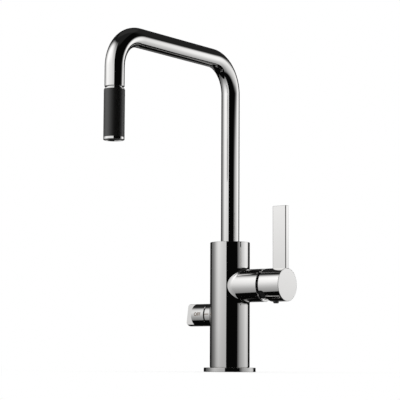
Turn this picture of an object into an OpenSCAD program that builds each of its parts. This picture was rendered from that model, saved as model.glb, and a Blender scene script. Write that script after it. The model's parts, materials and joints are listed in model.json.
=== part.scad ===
// Kitchen mixer tap with a swivelling bent spout, a pull-out hand spray,
// a side lever and a small side valve. Millimetres, +Z up.
// The origin is the centre of the column's underside on the worktop.
// The spout points to -Y, the lever to +X and the side valve to -X.

/* [Column] */
// Diameter of the body column
column_d = 47.2; // [45:0.2:56]
// Height of the column's top over the lever's axis
column_over = 52.2; // [51:0.2:80]
// Chamfer on the column's and the bosses' edges
column_edge = 0.8; // [0.3:0.1:1.2]
// Diameter of the base flange
flange_d = 61.4; // [58:0.2:75]
// Thickness of the base flange
flange_t = 5; // [4:0.25:8]
// Wall between the column's foot and the flange's inner edge
foot_step = 1.4; // [1:0.1:2]
// Diameter of the gasket under the flange
gasket_d = 57; // [54:0.5:58]
// Width of the gasket
gasket_w = 3; // [2:0.5:4]
// Thickness of the gasket
gasket_t = 2; // [1:0.25:3]
// Diameter of the thread for the hollow fixing shank
shank_thread_d = 33; // [32:0.5:36]
// Depth of the thread for the hollow fixing shank
shank_thread_depth = 12; // [8:0.5:16]
// Diameter of the hose passage through the column
passage_d = 16; // [15:0.25:16.5]
// Diameter of the water channels in the column
channel_d = 5.6; // [4.5:0.1:5.8]
// Distance of the hot and cold channels from the middle plane
inlet_y = 11.6; // [11.2:0.1:11.8]
// Distance of the hot and cold channels towards the lever
inlet_x = 7; // [6.5:0.1:7.4]
// Distance of the two outlet channels from the column's axis
outlet_x = 13.3; // [12.8:0.1:13.6]

/* [Spout] */
// Outer diameter of the spout tube
tube_d = 22; // [21.5:0.1:23]
// Wall of the spout tube
tube_wall = 1; // [0.8:0.1:1.4]
// Bend radius of the spout at the tube's centre line
bend_r = 39; // [32:0.5:60]
// Reach from the column's axis to the spray's axis
reach = 212; // [180:1:260]
// Height of the spout's level arm at its centre line
arm_h = 371; // [350:1:420]
// Length of the spout's straight outlet under the bend
outlet_run = 22; // [21.5:0.5:60]
// Depth of the socket in the column's top
socket_depth = 29; // [27:0.5:32]
// Diameter of the socket in the column's top
socket_d = 28; // [27:0.2:30]
// Height of the washer under the spout's foot
thrust_t = 1.5; // [1:0.1:2.5]
// Height of the spout's foot ring
foot_ring_h = 10; // [9:0.25:12]
// Height of the lower bush
lower_bush_h = 4.5; // [3:0.25:6]
// Height of the friction ring
friction_ring_h = 3; // [2:0.25:4]
// Height of the trim ring round the spout
trim_ring_h = 2; // [1.5:0.1:3]
// Swivel of the spout to each side, in degrees
spout_swing = 60; // [30:5:75]
// Diameter of the stop screw at the back
stop_screw_d = 5; // [4:0.5:6]
// Diameter of the stop screw's tip
stop_tip_d = 3; // [2:0.25:3.5]
// Depth of the stop groove in the foot ring
stop_groove_depth = 1.4; // [1:0.1:1.8]

/* [Hose and spray] */
// Outer diameter of the pull-out hose
hose_d = 13; // [11:0.25:14]
// Bore of the pull-out hose
hose_bore = 8; // [6:0.25:8.5]
// Height of the hose's lower end over the shank thread
hose_over_shank = 1; // [0.5:0.5:10]
// Length of the crimp ferrule on the hose
ferrule_h = 6; // [4:0.5:8]
// Diameter of the crimp ferrule
ferrule_d = 15.2; // [14.5:0.1:17]
// Diameter of the hose's end stem
stem_d = 9; // [8.5:0.1:9.6]
// Length of the hose's end stem inside the spray
stem_h = 20; // [16:0.5:24]
// Height of the spray's socket part inside the spout
dock_h = 8.2; // [7:0.2:9]
// Diameter of the spray's socket part
dock_d = 17.2; // [16.6:0.1:17.6]
// Height of the dock sleeve in the spout's end
dock_sleeve_h = 10; // [8:0.5:12]
// Height of the dark groove over the spray
groove_h = 1.3; // [0.8:0.1:3]
// Height of the bright collar over the grip
collar_h = 2.4; // [1.5:0.1:5]
// Length of the rubber grip
grip_h = 52.2; // [45:0.2:80]
// Outer diameter of the rubber grip
grip_d = 23.2; // [22.4:0.1:26]
// Wall of the rubber grip
grip_wall = 1.6; // [1.2:0.1:1.8]
// Height of the bright outlet ring
outlet_ring_h = 2.9; // [2:0.1:5]
// Wall of the outlet ring
outlet_ring_wall = 1.6; // [1:0.1:1.6]
// Height of the aerator housing
aerator_h = 12; // [10:0.5:16]
// Depth of the aerator over the spray's lower edge
aerator_recess = 0.9; // [0.3:0.1:1.6]
// Diameter of the aerator
aerator_d = 17.2; // [16.4:0.1:17.6]
// Bore of the spray's core
core_bore = 14; // [13:0.25:14.5]
// Length of the check valve in the spray
check_valve_h = 10; // [8:0.5:14]
// Height of the nut that holds the hose's end in the spray
swivel_nut_h = 3; // [2.5:0.1:3.5]
// Height of the washer under the hose's end
washer_h = 1.5; // [1:0.1:1.8]
// Diameter of the flange on the hose's end stem
stem_flange_d = 12.8; // [11:0.1:13.2]
// Height of the flange on the hose's end stem
stem_flange_h = 1.2; // [0.8:0.1:1.6]

/* [Lever] */
// Height of the lever's axis over the worktop
lever_h = 101; // [98:0.5:104]
// Wall of the lever's boss round the cartridge
boss_wall = 1.8; // [1.6:0.1:4]
// Distance of the boss's end from the column's axis
lever_boss_reach = 51.3; // [51:0.1:55]
// Gap between the boss and the handle
handle_gap = 2.7; // [2.2:0.1:3.2]
// Length of the handle
handle_len = 29; // [28:0.5:40]
// Distance of the grub screw from the handle's inner rim
grub_in = 12.8; // [12.5:0.1:13.5]
// Distance of the notch's wall from the handle's inner rim
notch_len = 7.7; // [6.5:0.1:8]
// Depth of the notch's top under the lever's axis
notch_drop = 7; // [6:0.5:9]
// Radius of the notch's inner corner
notch_r = 4; // [2:0.5:5]
// Height of the blade's top over the lever's axis
blade_rise = 92; // [70:1:120]
// Width of the blade
blade_w = 19; // [14:0.5:20]
// Thickness of the blade
blade_t = 6.8; // [4:0.1:8]
// Radius of the blade's upright edges
blade_edge = 1.2; // [0.4:0.1:2]
// Depth of the blade's foot in the handle
blade_foot = 5; // [3:0.5:5.5]
// Tilt of the lever from closed to full flow, in degrees
lever_tilt = 22; // [15:1:24]
// Distance of the tilt pivot behind the boss's end
pivot_back = 6; // [5.6:0.1:6.3]
// Radius of the ball-shaped hollow in the handle
hollow_r = 17; // [16.8:0.1:17.4]
// Outer radius of the dome ring
dome_r = 16; // [15.8:0.1:16.2]
// Wall of the dome ring
dome_wall = 1; // [0.8:0.1:1.2]
// Diameter of the hole in the dome ring
dome_hole_d = 24; // [23.6:0.2:24.6]
// Width of the square stem
stem_w = 8; // [7:0.25:8.5]
// Depth of the square stem in the handle
stem_in = 17; // [16:0.5:20]
// Diameter of the handle's grub screw
grub_d = 5; // [4:0.5:5.5]
// Diameter of the plug under the handle
plug_d = 6.6; // [6.2:0.1:8]
// How far the plug stands out under the handle
plug_proud = 2; // [1:0.1:3]

/* [Cartridge] */
// Diameter of the mixing cartridge
cartridge_d = 35; // [34.6:0.1:35.1]
// Wall between the hose passage and the cartridge's chamber
chamber_wall = 4; // [3.8:0.1:4.4]
// Thickness of the cartridge's base
base_t = 5; // [4.5:0.1:5.2]
// Thickness of the fixed ceramic disc
fixed_disc_t = 4; // [3:0.1:4]
// Thickness of the moving ceramic disc
moving_disc_t = 4; // [3:0.1:4]
// Diameter of the moving ceramic disc
moving_disc_d = 17; // [15:0.25:17.5]
// Bore of the cartridge's housing
housing_bore = 26; // [25.6:0.1:26.4]
// Wall of the housing's neck
neck_wall = 2.4; // [2:0.1:2.8]
// Diameter of the cartridge's rotor
rotor_d = 22.8; // [22:0.1:23]
// Length of the rotor behind the tilt pivot
rotor_back = 11.5; // [11:0.25:12]
// Length of the housing's neck behind the tilt pivot
neck_back = 7; // [6:0.25:8]
// Distance of the neck's end from the tilt pivot
neck_short = 2; // [1.5:0.25:3]
// Length of the nut past the tilt pivot
nut_front = 3; // [2.5:0.25:3.5]
// Length of the rotor past the tilt pivot
rotor_front = 4; // [3.5:0.25:4.5]
// Depth of the hot and cold ports under the lever's axis
port_drop = 6; // [5:0.25:7]
// Depth of the outlet port under the lever's axis
outlet_drop = 8; // [7:0.25:9]
// Length of the stem's inner arm from the pivot to its ball
ball_arm = 12; // [11:0.25:12.5]
// Diameter of the stem's ball end
ball_d = 7; // [6:0.25:7.5]
// Diameter of the pivot pin
pivot_pin_d = 3; // [2.5:0.1:3.5]

/* [Side valve] */
// Height of the side valve's axis over the worktop
valve_h = 67.5; // [64:0.5:70]
// Diameter of the side valve's boss and knob
valve_d = 26.7; // [26:0.1:30]
// Distance of the boss's end from the column's axis
valve_boss_reach = 28.5; // [28:0.25:34]
// Gap between the boss and the knob
knob_gap = 1.3; // [0.8:0.1:2]
// Length of the knob's round part
knob_len = 18.4; // [15:0.1:20]
// Length of the knob's bar grip
bar_len = 11.8; // [8:0.25:16]
// Thickness of the knob's bar grip
bar_t = 10.6; // [8:0.2:14]
// Turn of the bar grip when closed, in degrees
bar_turn = 9; // [0:1:15]
// Diameter of the valve's headwork
headwork_d = 19; // [18.6:0.1:19.6]
// Diameter of the valve's spindle
spindle_d = 8; // [7:0.25:8.5]
// Diameter of the valve's ceramic discs
valve_disc_d = 16.4; // [15.6:0.1:16.6]
// Wall of the headwork's neck round the spindle
headwork_neck_wall = 2.5; // [2:0.1:3]
// Thickness of each of the valve's ceramic discs
valve_disc_t = 2.5; // [2:0.1:3]
// Wall between the hose passage and the valve's chamber
valve_wall = 6; // [5.8:0.1:6.6]
// Thickness of the seal under the valve's discs
valve_seal_t = 1; // [0.8:0.1:1.4]
// Diameter of the knob's grub screw
knob_grub_d = 4; // [3:0.25:4.5]

/* [Fits] */
// Radial clearance of a turning fit
run_gap = 0.06; // [0.04:0.01:0.08]
// Clearance between loose neighbours
free_gap = 0.3; // [0.25:0.05:0.35]
// Thickness of the seals under the cartridge
seal_t = 0.6; // [0.5:0.1:0.8]

/* [Hidden] */
$fn = 96;

// Overshoot of a cut past a face
eps = 0.5;
// Small chamfer on thin rims
soft_edge = 0.4;
// Radial slip of a fixed piece in its bore
slip = 0.1;
// Depth of an O-ring's groove
groove_in = 1.5;
// Depth and width across corners of the small hexagon sockets
hex_depth = 3;
hex_d = 2.9;
knob_hex_d = 2.3;
// Colours as the finishes look
chrome = [0.80, 0.81, 0.83];
raw_brass = [0.78, 0.63, 0.33];
steel = [0.62, 0.63, 0.65];
black_rubber = [0.10, 0.10, 0.10];
black_plastic = [0.16, 0.16, 0.17];
pale_plastic = [0.88, 0.88, 0.86];
white_ceramic = [0.93, 0.92, 0.88];
hose_grey = [0.45, 0.46, 0.48];

// Column and base
column_h = lever_h + column_over;
lever_d = cartridge_d + 2 * slip + 2 * boss_wall;
foot_d = column_d - 2 * foot_step;
hose_start_h = shank_thread_depth + hose_over_shank;
channel_top = lever_h - port_drop;
chamber_floor = passage_d / 2 + chamber_wall;
chamber_d = cartridge_d + 2 * slip;
valve_floor = passage_d / 2 + valve_wall;
valve_chamber_d = headwork_d + 2 * slip;
channel_over = 2.5;
cross_channel_d = 4.4;
well_d = 6;
feed_d = 3.2;
feed_x = valve_floor - 3;

// Spout's seat in the column, from the bottom up
socket_floor = column_h - socket_depth;
foot_ring_z = socket_floor + thrust_t;
lower_bush_z = foot_ring_z + foot_ring_h + free_gap;
friction_ring_z = lower_bush_z + lower_bush_h;
upper_bush_z = friction_ring_z + friction_ring_h;
trim_ring_z = column_h - trim_ring_h;
tube_bore = tube_d - 2 * tube_wall;
foot_lip = 1;
tube_start_z = foot_ring_z + foot_lip;
foot_ring_d = socket_d - 4 * slip;
bush_bore = tube_d + 2 * run_gap;
stop_z = foot_ring_z + foot_ring_h / 2;
stop_groove_h = stop_tip_d + 2 * free_gap;
stop_tip_reach = foot_ring_d / 2 - stop_groove_depth + free_gap;
stop_tip_angle = atan((stop_tip_d / 2 + slip) / stop_tip_reach);
stop_screw_in = socket_d / 2 + free_gap;
stop_screw_end = column_d / 2 - 1;
washer_bore = passage_d + 1;
bend_z = arm_h - bend_r;
outlet_h = bend_z - outlet_run;

// Spray, from the spout's end down
collar_top = outlet_h - groove_h;
grip_top = collar_top - collar_h;
grip_bottom = grip_top - grip_h;
spray_bottom = grip_bottom - outlet_ring_h;
spray_core_d = grip_d - 2 * grip_wall;
dock_top = collar_top + dock_h;
end_play = 0.1;
inlet_bore = dock_d - 3;
swivel_nut_z = dock_top - swivel_nut_h;
stem_flange_z = swivel_nut_z - end_play - stem_flange_h;
washer_z = stem_flange_z - end_play - washer_h;
ferrule_z = dock_top + 2 * end_play;
hose_run_z = ferrule_z + ferrule_h;
stem_bottom = ferrule_z - stem_h;
stem_seat_d = stem_d + 2 * run_gap;
stem_bore = stem_d - 3;
stem_seat_in = 2;
stem_ring_up = 4;
stem_ring_in = 0.8;
stem_ring_w = 1.6;
check_valve_top = stem_bottom - 1;
outlet_ring_bore = grip_d - 2 * outlet_ring_wall;
core_end = spray_bottom + aerator_recess / 2;
aerator_z = spray_bottom + aerator_recess;
aerator_top = aerator_z + aerator_h;
aerator_seal_h = 1.5;
screen_d = aerator_d - 3;
screen_in = 1.2;
screen_hole_d = 1.3;
screen_pitch = 2.6;
screen_step = 117;
flap_up = 2;
flap_h = 3;
collar_neck_d = tube_d - 1.2;
collar_neck_h = groove_h - free_gap;

// Cartridge, from the chamber's floor outwards
base_x = chamber_floor + seal_t;
fixed_disc_x = base_x + base_t;
moving_disc_x = fixed_disc_x + fixed_disc_t;
carriage_x = moving_disc_x + moving_disc_t;
pivot_x = lever_boss_reach - pivot_back;
rotor_x = pivot_x - rotor_back;
slot_w = stem_w + 4 * slip;
slot_edge = 3;
pivot_pin_len = rotor_d - 2;
carriage_len = rotor_x - free_gap - carriage_x;
neck_d = rotor_d + 2 * run_gap + 2 * neck_wall;
neck_start = pivot_x - neck_back;
neck_end = pivot_x - neck_short;
nut_end = pivot_x + nut_front;
rotor_end = pivot_x + rotor_front;
housing_floor_x = base_x + base_t;
disc_slide = ball_arm * sin(lever_tilt);
carriage_d = moving_disc_d;
carriage_rest = -disc_slide / 2;
ball_x = pivot_x - ball_arm;
ball_pocket = ball_d + free_gap;
pocket_w = ball_d + 2 * free_gap;
pocket_x = ball_x - ball_d / 2 - 1;
stem_back = 4;
ball_neck_d = ball_d - 2;
fixed_disc_d = housing_bore - 4 * slip;
housing_ring_x = housing_floor_x + 3;
housing_ring_w = 2.4;
disc_pocket = 2;
disc_rim = 3;
port_y = inlet_y;
port_z = -port_drop;
outlet_port_z = -outlet_drop;
port_d = channel_d - 0.6;
seal_w = 1.5;
disc_port_d = port_d - 1;

// Handle
handle_start = lever_boss_reach + handle_gap;
handle_end = handle_start + handle_len;
blade_start = handle_end - blade_w;
stem_end = handle_start + stem_in;
stem_socket_w = stem_w + slip;
notch_x = handle_start + notch_len;
grub_x = handle_start + grub_in;
grub_top = -stem_w / 2;
grub_len = 9;
plug_in = 3;
plug_seat = 0.6;
plug_stem_d = plug_d - 1.4;
plug_edge = 0.8;

// Side valve, measured outwards from the column's axis
valve_disc_x = valve_floor + valve_seal_t;
valve_moving_x = valve_disc_x + valve_disc_t;
spindle_x = valve_moving_x + valve_disc_t;
spindle_plate_t = 1;
spindle_plate_d = valve_disc_d;
headwork_neck_x = spindle_x + spindle_plate_t + end_play;
headwork_bore = valve_disc_d + 2 * free_gap;
window_d = 4;
headwork_step = valve_boss_reach - 1;
headwork_end = valve_boss_reach + knob_gap + 4;
headwork_neck_d = spindle_d + 2 * headwork_neck_wall;
clip_t = 0.8;
clip_x = headwork_end + 2 * end_play;
clip_in = 0.8;
clip_out = 1.5;
knob_start = valve_boss_reach + knob_gap;
knob_shoulder = knob_start + knob_len;
knob_end = knob_shoulder + bar_len;
knob_room = 1.5;
knob_hollow_d = headwork_neck_d + 2 * knob_room;
knob_hollow_end = clip_x + clip_t + free_gap;
spindle_end = knob_shoulder - 2;
knob_grub_x = knob_hollow_end + (spindle_end - knob_hollow_end) / 2;
valve_ring_x = headwork_step - 5;
valve_ring_w = 2;
valve_seal_w = 2.5;
valve_port_r = 4;
valve_port_d = 4;
valve_pocket = 1.5;
knob_screw_in = 1.5;
knob_far_edge = 1.6;
knob_near_edge = soft_edge;

// A turned solid that stands along +X or -X at a height
module towards_lever(x = 0) {
    translate([x, 0, lever_h]) rotate([0, 90, 0]) children();
}

module towards_valve(x = 0) {
    translate([-x, 0, valve_h]) rotate([0, -90, 0]) children();
}

// A plain ring
module ring(od, bore, h) {
    difference() {
        cylinder(d = od, h = h);
        translate([0, 0, -eps]) cylinder(d = bore, h = h + 2 * eps);
    }
}

// A cylinder with a chamfer on its far end, and on its near end if asked for
module turned(d, h, far_edge, near_edge = 0) {
    rotate_extrude() polygon([
        [0, 0],
        [d / 2 - near_edge, 0],
        [d / 2, near_edge],
        [d / 2, h - far_edge],
        [d / 2 - far_edge, h],
        [0, h]
    ]);
}

// A quarter bend in the spout's plane, from the angle start at the bend's centre
module quarter_bend(y, start, d) {
    translate([0, y, bend_z])
        rotate([90, 0, 90])
        rotate([0, 0, start])
        rotate_extrude(angle = 90)
        translate([bend_r, 0])
        circle(d = d);
}

// A round bar along the spout's route, from low_z in the riser to end_z in the outlet
module spout_route(d, low_z, end_z) {
    translate([0, 0, low_z]) cylinder(d = d, h = bend_z - low_z);
    quarter_bend(-bend_r, 0, d);
    translate([0, -bend_r, arm_h]) rotate([90, 0, 0]) cylinder(d = d, h = reach - 2 * bend_r);
    quarter_bend(-(reach - bend_r), 90, d);
    translate([0, -reach, end_z]) cylinder(d = d, h = bend_z - end_z);
}

module column_outside() {
    translate([0, 0, flange_t])
        turned(column_d, column_h - flange_t, column_edge, column_edge);
    cylinder(d = foot_d, h = flange_t + eps);
    towards_lever() turned(lever_d, lever_boss_reach, column_edge);
    towards_valve() turned(valve_d, valve_boss_reach, column_edge);
}

module water_channels() {
    for (side = [-1, 1]) {
        translate([inlet_x, side * inlet_y, shank_thread_depth - eps])
            cylinder(d = channel_d, h = channel_top - shank_thread_depth + eps);
        translate([inlet_x, side * inlet_y, channel_top])
            rotate([0, 90, 0]) cylinder(d = port_d, h = chamber_floor - inlet_x + eps);
    }
    translate([outlet_x, 0, shank_thread_depth - eps])
        cylinder(d = channel_d, h = lever_h - chamber_d / 2 - shank_thread_depth + channel_over);
    translate([-outlet_x, 0, shank_thread_depth - eps])
        cylinder(d = channel_d, h = valve_h - valve_chamber_d / 2 - shank_thread_depth + channel_over);
    translate([inlet_x, -inlet_y, valve_h])
        rotate([0, -90, 0]) cylinder(d = cross_channel_d, h = inlet_x + feed_x);
    translate([-feed_x, -inlet_y, valve_h]) rotate([-90, 0, 0]) cylinder(d = feed_d, h = inlet_y);
    towards_valve(feed_x) cylinder(d = well_d, h = valve_floor - feed_x + eps);
}

module body_column() {
    color(chrome) difference() {
        column_outside();
        translate([0, 0, -eps]) cylinder(d = shank_thread_d, h = shank_thread_depth + eps);
        cylinder(d = passage_d, h = column_h);
        translate([0, 0, socket_floor]) cylinder(d = socket_d, h = socket_depth + eps);
        towards_lever(chamber_floor) cylinder(d = chamber_d, h = lever_boss_reach);
        towards_valve(valve_floor) cylinder(d = valve_chamber_d, h = valve_boss_reach);
        water_channels();
        translate([0, 0, stop_z]) rotate([-90, 0, 0]) cylinder(d = stop_screw_d, h = column_d);
    }
}

module base_flange() {
    color(chrome) difference() {
        turned(flange_d, flange_t, soft_edge);
        translate([0, 0, -eps]) cylinder(d = foot_d, h = flange_t + 2 * eps);
        translate([0, 0, -eps]) ring(gasket_d, gasket_d - 2 * gasket_w, gasket_t + eps);
    }
}

module base_gasket() {
    color(black_rubber) ring(gasket_d, gasket_d - 2 * gasket_w, gasket_t);
}

module spout_thrust_washer() {
    color(pale_plastic)
        translate([0, 0, socket_floor]) ring(foot_ring_d, washer_bore, thrust_t);
}

module lower_bush() {
    color(pale_plastic)
        translate([0, 0, lower_bush_z]) ring(socket_d, bush_bore, lower_bush_h);
}

module friction_ring() {
    color(black_rubber)
        translate([0, 0, friction_ring_z]) ring(socket_d, bush_bore, friction_ring_h);
}

module upper_bush() {
    color(pale_plastic)
        translate([0, 0, upper_bush_z]) ring(socket_d, bush_bore, trim_ring_z - upper_bush_z);
}

module trim_ring() {
    color(chrome) translate([0, 0, trim_ring_z]) ring(socket_d, bush_bore + slip, trim_ring_h);
}

module spout_stop_screw() {
    color(steel) translate([0, 0, stop_z]) rotate([-90, 0, 0]) difference() {
        union() {
            translate([0, 0, stop_screw_in])
                cylinder(d = stop_screw_d, h = stop_screw_end - stop_screw_in);
            translate([0, 0, stop_tip_reach])
                cylinder(d = stop_tip_d, h = stop_screw_in - stop_tip_reach + eps);
        }
        translate([0, 0, stop_screw_end - hex_depth])
            cylinder(d = hex_d, h = hex_depth + eps, $fn = 6);
    }
}

module spout_tube() {
    color(chrome) difference() {
        spout_route(tube_d, tube_start_z, outlet_h);
        spout_route(tube_bore, tube_start_z - eps, outlet_h - eps);
    }
}

module spout_foot_ring() {
    color(raw_brass) difference() {
        translate([0, 0, foot_ring_z]) cylinder(d = foot_ring_d, h = foot_ring_h);
        translate([0, 0, foot_ring_z - eps]) cylinder(d = tube_bore, h = foot_ring_h);
        translate([0, 0, tube_start_z]) cylinder(d = tube_d, h = foot_ring_h);
        translate([0, 0, stop_z - stop_groove_h / 2])
            rotate([0, 0, 90 - spout_swing - stop_tip_angle])
            rotate_extrude(angle = 2 * (spout_swing + stop_tip_angle))
            translate([foot_ring_d / 2 - stop_groove_depth, 0])
            square([stop_groove_depth + eps, stop_groove_h]);
    }
}

module dock_sleeve() {
    color(black_plastic)
        translate([0, -reach, outlet_h]) ring(tube_bore, dock_d + 4 * slip, dock_sleeve_h);
}

module pull_out_hose() {
    color(hose_grey) difference() {
        spout_route(hose_d, hose_start_h, bend_z);
        spout_route(hose_bore, hose_start_h - eps, bend_z - eps);
    }
}

module hose_outlet_run() {
    color(hose_grey) translate([0, -reach, hose_run_z]) ring(hose_d, hose_bore, bend_z - hose_run_z);
}

module hose_ferrule() {
    color(steel) translate([0, -reach, ferrule_z]) difference() {
        turned(ferrule_d, ferrule_h, column_edge, soft_edge);
        translate([0, 0, -eps]) cylinder(d = stem_bore, h = ferrule_h + 2 * eps);
    }
}

module hose_end_stem() {
    color(raw_brass) translate([0, -reach, stem_bottom]) difference() {
        union() {
            cylinder(d = stem_d, h = stem_h);
            translate([0, 0, stem_flange_z - stem_bottom])
                cylinder(d = stem_flange_d, h = stem_flange_h);
        }
        translate([0, 0, -eps]) cylinder(d = stem_bore, h = stem_h + 2 * eps);
        translate([0, 0, stem_ring_up])
            ring(stem_d + 1, stem_d - 2 * stem_ring_in, stem_ring_w);
    }
}

module hose_stem_o_ring() {
    color(black_rubber) translate([0, -reach, stem_bottom + stem_ring_up])
        ring(stem_d, stem_d - 2 * stem_ring_in, stem_ring_w);
}

module swivel_nut() {
    color(raw_brass) translate([0, -reach, swivel_nut_z])
        ring(inlet_bore, stem_seat_d, swivel_nut_h);
}

module inlet_washer() {
    color(black_rubber) translate([0, -reach, washer_z])
        ring(inlet_bore, stem_seat_d, washer_h);
}

module spray_core() {
    color(chrome) translate([0, -reach, 0]) difference() {
        union() {
            translate([0, 0, core_end]) cylinder(d = spray_core_d, h = grip_top - core_end);
            translate([0, 0, grip_top - eps]) cylinder(d = dock_d, h = dock_top - grip_top + eps);
        }
        translate([0, 0, washer_z]) cylinder(d = inlet_bore, h = dock_top - washer_z + eps);
        translate([0, 0, stem_bottom - stem_seat_in]) cylinder(d = stem_seat_d, h = stem_h);
        translate([0, 0, core_end]) cylinder(d = core_bore, h = check_valve_top - core_end);
        translate([0, 0, core_end - eps])
            cylinder(d = aerator_d, h = aerator_top + aerator_seal_h - core_end + eps);
    }
}

module spray_collar() {
    color(chrome) translate([0, -reach, 0]) {
        translate([0, 0, grip_top]) difference() {
            turned(tube_d, collar_h, soft_edge, soft_edge);
            translate([0, 0, -eps]) cylinder(d = dock_d, h = collar_h + 2 * eps);
        }
        translate([0, 0, collar_top - slip]) ring(collar_neck_d, dock_d, collar_neck_h + slip);
    }
}

module check_valve() {
    color(pale_plastic) translate([0, -reach, check_valve_top - check_valve_h])
        ring(core_bore, stem_bore, check_valve_h);
    color(pale_plastic) translate([0, -reach, check_valve_top - check_valve_h + flap_up])
        cylinder(d = stem_bore + 2 * slip, h = flap_h);
}

module rubber_grip() {
    color(black_rubber) translate([0, -reach, grip_bottom]) difference() {
        turned(grip_d, grip_h, soft_edge, soft_edge);
        translate([0, 0, -eps]) cylinder(d = spray_core_d, h = grip_h + 2 * eps);
    }
}

module outlet_ring() {
    color(chrome) translate([0, -reach, spray_bottom]) difference() {
        turned(grip_d, outlet_ring_h, soft_edge, soft_edge);
        translate([0, 0, -eps]) cylinder(d = outlet_ring_bore, h = outlet_ring_h + 2 * eps);
    }
}

module aerator_seal() {
    color(black_rubber) translate([0, -reach, aerator_top]) ring(aerator_d, stem_bore, aerator_seal_h);
}

module aerator_housing() {
    color(black_plastic) translate([0, -reach, aerator_z])
        ring(aerator_d, screen_d, aerator_h);
}

module aerator_screen() {
    color(steel) translate([0, -reach, aerator_z + screen_in]) difference() {
        cylinder(d = screen_d, h = aerator_h - screen_in);
        translate([0, 0, -eps]) for (ring_r = [screen_pitch, 2 * screen_pitch]) {
            for (turn = [0 : screen_step / ring_r : 359]) {
                rotate([0, 0, turn]) translate([ring_r, 0])
                    cylinder(d = screen_hole_d, h = aerator_h);
            }
        }
    }
}

module cartridge_base() {
    color(pale_plastic) towards_lever(base_x) difference() {
        cylinder(d = cartridge_d, h = base_t);
        for (side = [-1, 1]) {
            translate([-port_z, side * port_y, -eps]) cylinder(d = port_d, h = base_t + 2 * eps);
        }
        translate([-outlet_port_z, 0, -eps]) cylinder(d = port_d, h = base_t + 2 * eps);
        translate([-outlet_port_z, -port_d / 2, -eps]) cube([cartridge_d, port_d, base_t / 2 + eps]);
    }
}

module cartridge_seals() {
    color(black_rubber) towards_lever(chamber_floor) for (side = [-1, 1]) {
        translate([-port_z, side * port_y, 0]) ring(port_d + 2 * seal_w, port_d, seal_t);
    }
}

module fixed_disc() {
    color(white_ceramic) towards_lever(fixed_disc_x) difference() {
        cylinder(d = fixed_disc_d, h = fixed_disc_t);
        for (side = [-1, 1]) {
            translate([-port_z, side * (fixed_disc_d / 2 - port_d), -eps])
                cylinder(d = disc_port_d, h = fixed_disc_t + 2 * eps);
        }
        translate([-outlet_port_z, 0, -eps]) cylinder(d = port_d, h = fixed_disc_t + 2 * eps);
    }
}

module cartridge_housing() {
    color(pale_plastic) towards_lever() difference() {
        union() {
            translate([0, 0, housing_floor_x])
                cylinder(d = cartridge_d, h = neck_start - housing_floor_x);
            translate([0, 0, neck_start - eps]) cylinder(d = neck_d, h = neck_end - neck_start + eps);
        }
        translate([0, 0, housing_floor_x - eps])
            cylinder(d = housing_bore, h = rotor_x - housing_floor_x + eps);
        translate([0, 0, rotor_x - eps])
            cylinder(d = rotor_d + 2 * run_gap, h = neck_end - rotor_x + 2 * eps);
        translate([0, 0, housing_ring_x])
            ring(cartridge_d + 1, cartridge_d - 2 * groove_in, housing_ring_w);
    }
}

module housing_o_ring() {
    color(black_rubber) towards_lever(housing_ring_x)
        ring(chamber_d, cartridge_d - 2 * groove_in, housing_ring_w);
}

module cartridge_nut() {
    color(chrome) towards_lever(neck_start) difference() {
        cylinder(d = chamber_d, h = nut_end - neck_start);
        translate([0, 0, -eps]) cylinder(d = neck_d + 2 * slip, h = nut_end - neck_start + 2 * eps);
    }
}

module dome_ring() {
    color(chrome) towards_lever(pivot_x) intersection() {
        difference() {
            sphere(r = dome_r);
            sphere(r = dome_r - dome_wall);
            cylinder(d = dome_hole_d, h = 2 * dome_r);
        }
        translate([0, 0, nut_end - pivot_x]) cylinder(d = 3 * dome_r, h = dome_r);
    }
}

module cartridge_rotor() {
    color(black_plastic) difference() {
        towards_lever(rotor_x) cylinder(d = rotor_d, h = rotor_end - rotor_x);
        translate([rotor_x - eps, -slot_w / 2, lever_h - rotor_d / 2 + slot_edge])
            cube([rotor_end - rotor_x + 2 * eps, slot_w, rotor_d - 2 * slot_edge]);
        translate([pivot_x, 0, lever_h]) rotate([90, 0, 0])
            cylinder(d = pivot_pin_d, h = rotor_d + 2 * eps, center = true);
    }
}

module pivot_pin() {
    color(steel) translate([pivot_x, 0, lever_h]) rotate([90, 0, 0])
        cylinder(d = pivot_pin_d, h = pivot_pin_len, center = true);
}

module moving_disc() {
    color(white_ceramic) translate([0, 0, carriage_rest]) towards_lever(moving_disc_x) difference() {
        cylinder(d = moving_disc_d, h = moving_disc_t);
        translate([0, 0, -eps]) cylinder(d = moving_disc_d - 2 * disc_rim, h = disc_pocket + eps);
    }
}

module disc_carriage() {
    color(pale_plastic) translate([0, 0, carriage_rest]) difference() {
        towards_lever(carriage_x) cylinder(d = carriage_d, h = carriage_len);
        translate([pocket_x, -pocket_w / 2, lever_h - carriage_rest - ball_pocket / 2])
            cube([carriage_len, pocket_w, ball_pocket]);
    }
}

module lever_stem() {
    color(steel) difference() {
        union() {
            translate([pivot_x - stem_back, -stem_w / 2, lever_h - stem_w / 2])
                cube([stem_end - pivot_x + stem_back, stem_w, stem_w]);
            towards_lever(ball_x) cylinder(d = ball_neck_d, h = ball_arm);
            translate([ball_x, 0, lever_h]) sphere(d = ball_d);
        }
        translate([pivot_x, 0, lever_h]) rotate([90, 0, 0])
            cylinder(d = pivot_pin_d + 2 * run_gap, h = stem_w + 2 * eps, center = true);
    }
}

// The bevel that lets the handle tilt towards the boss
module handle_bevel() {
    translate([pivot_x, 0, lever_h]) rotate([0, -lever_tilt, 0])
        translate([-lever_d, -lever_d, -2 * lever_d])
        cube([lever_d + pivot_back + free_gap, 2 * lever_d, 2 * lever_d]);
}

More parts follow.
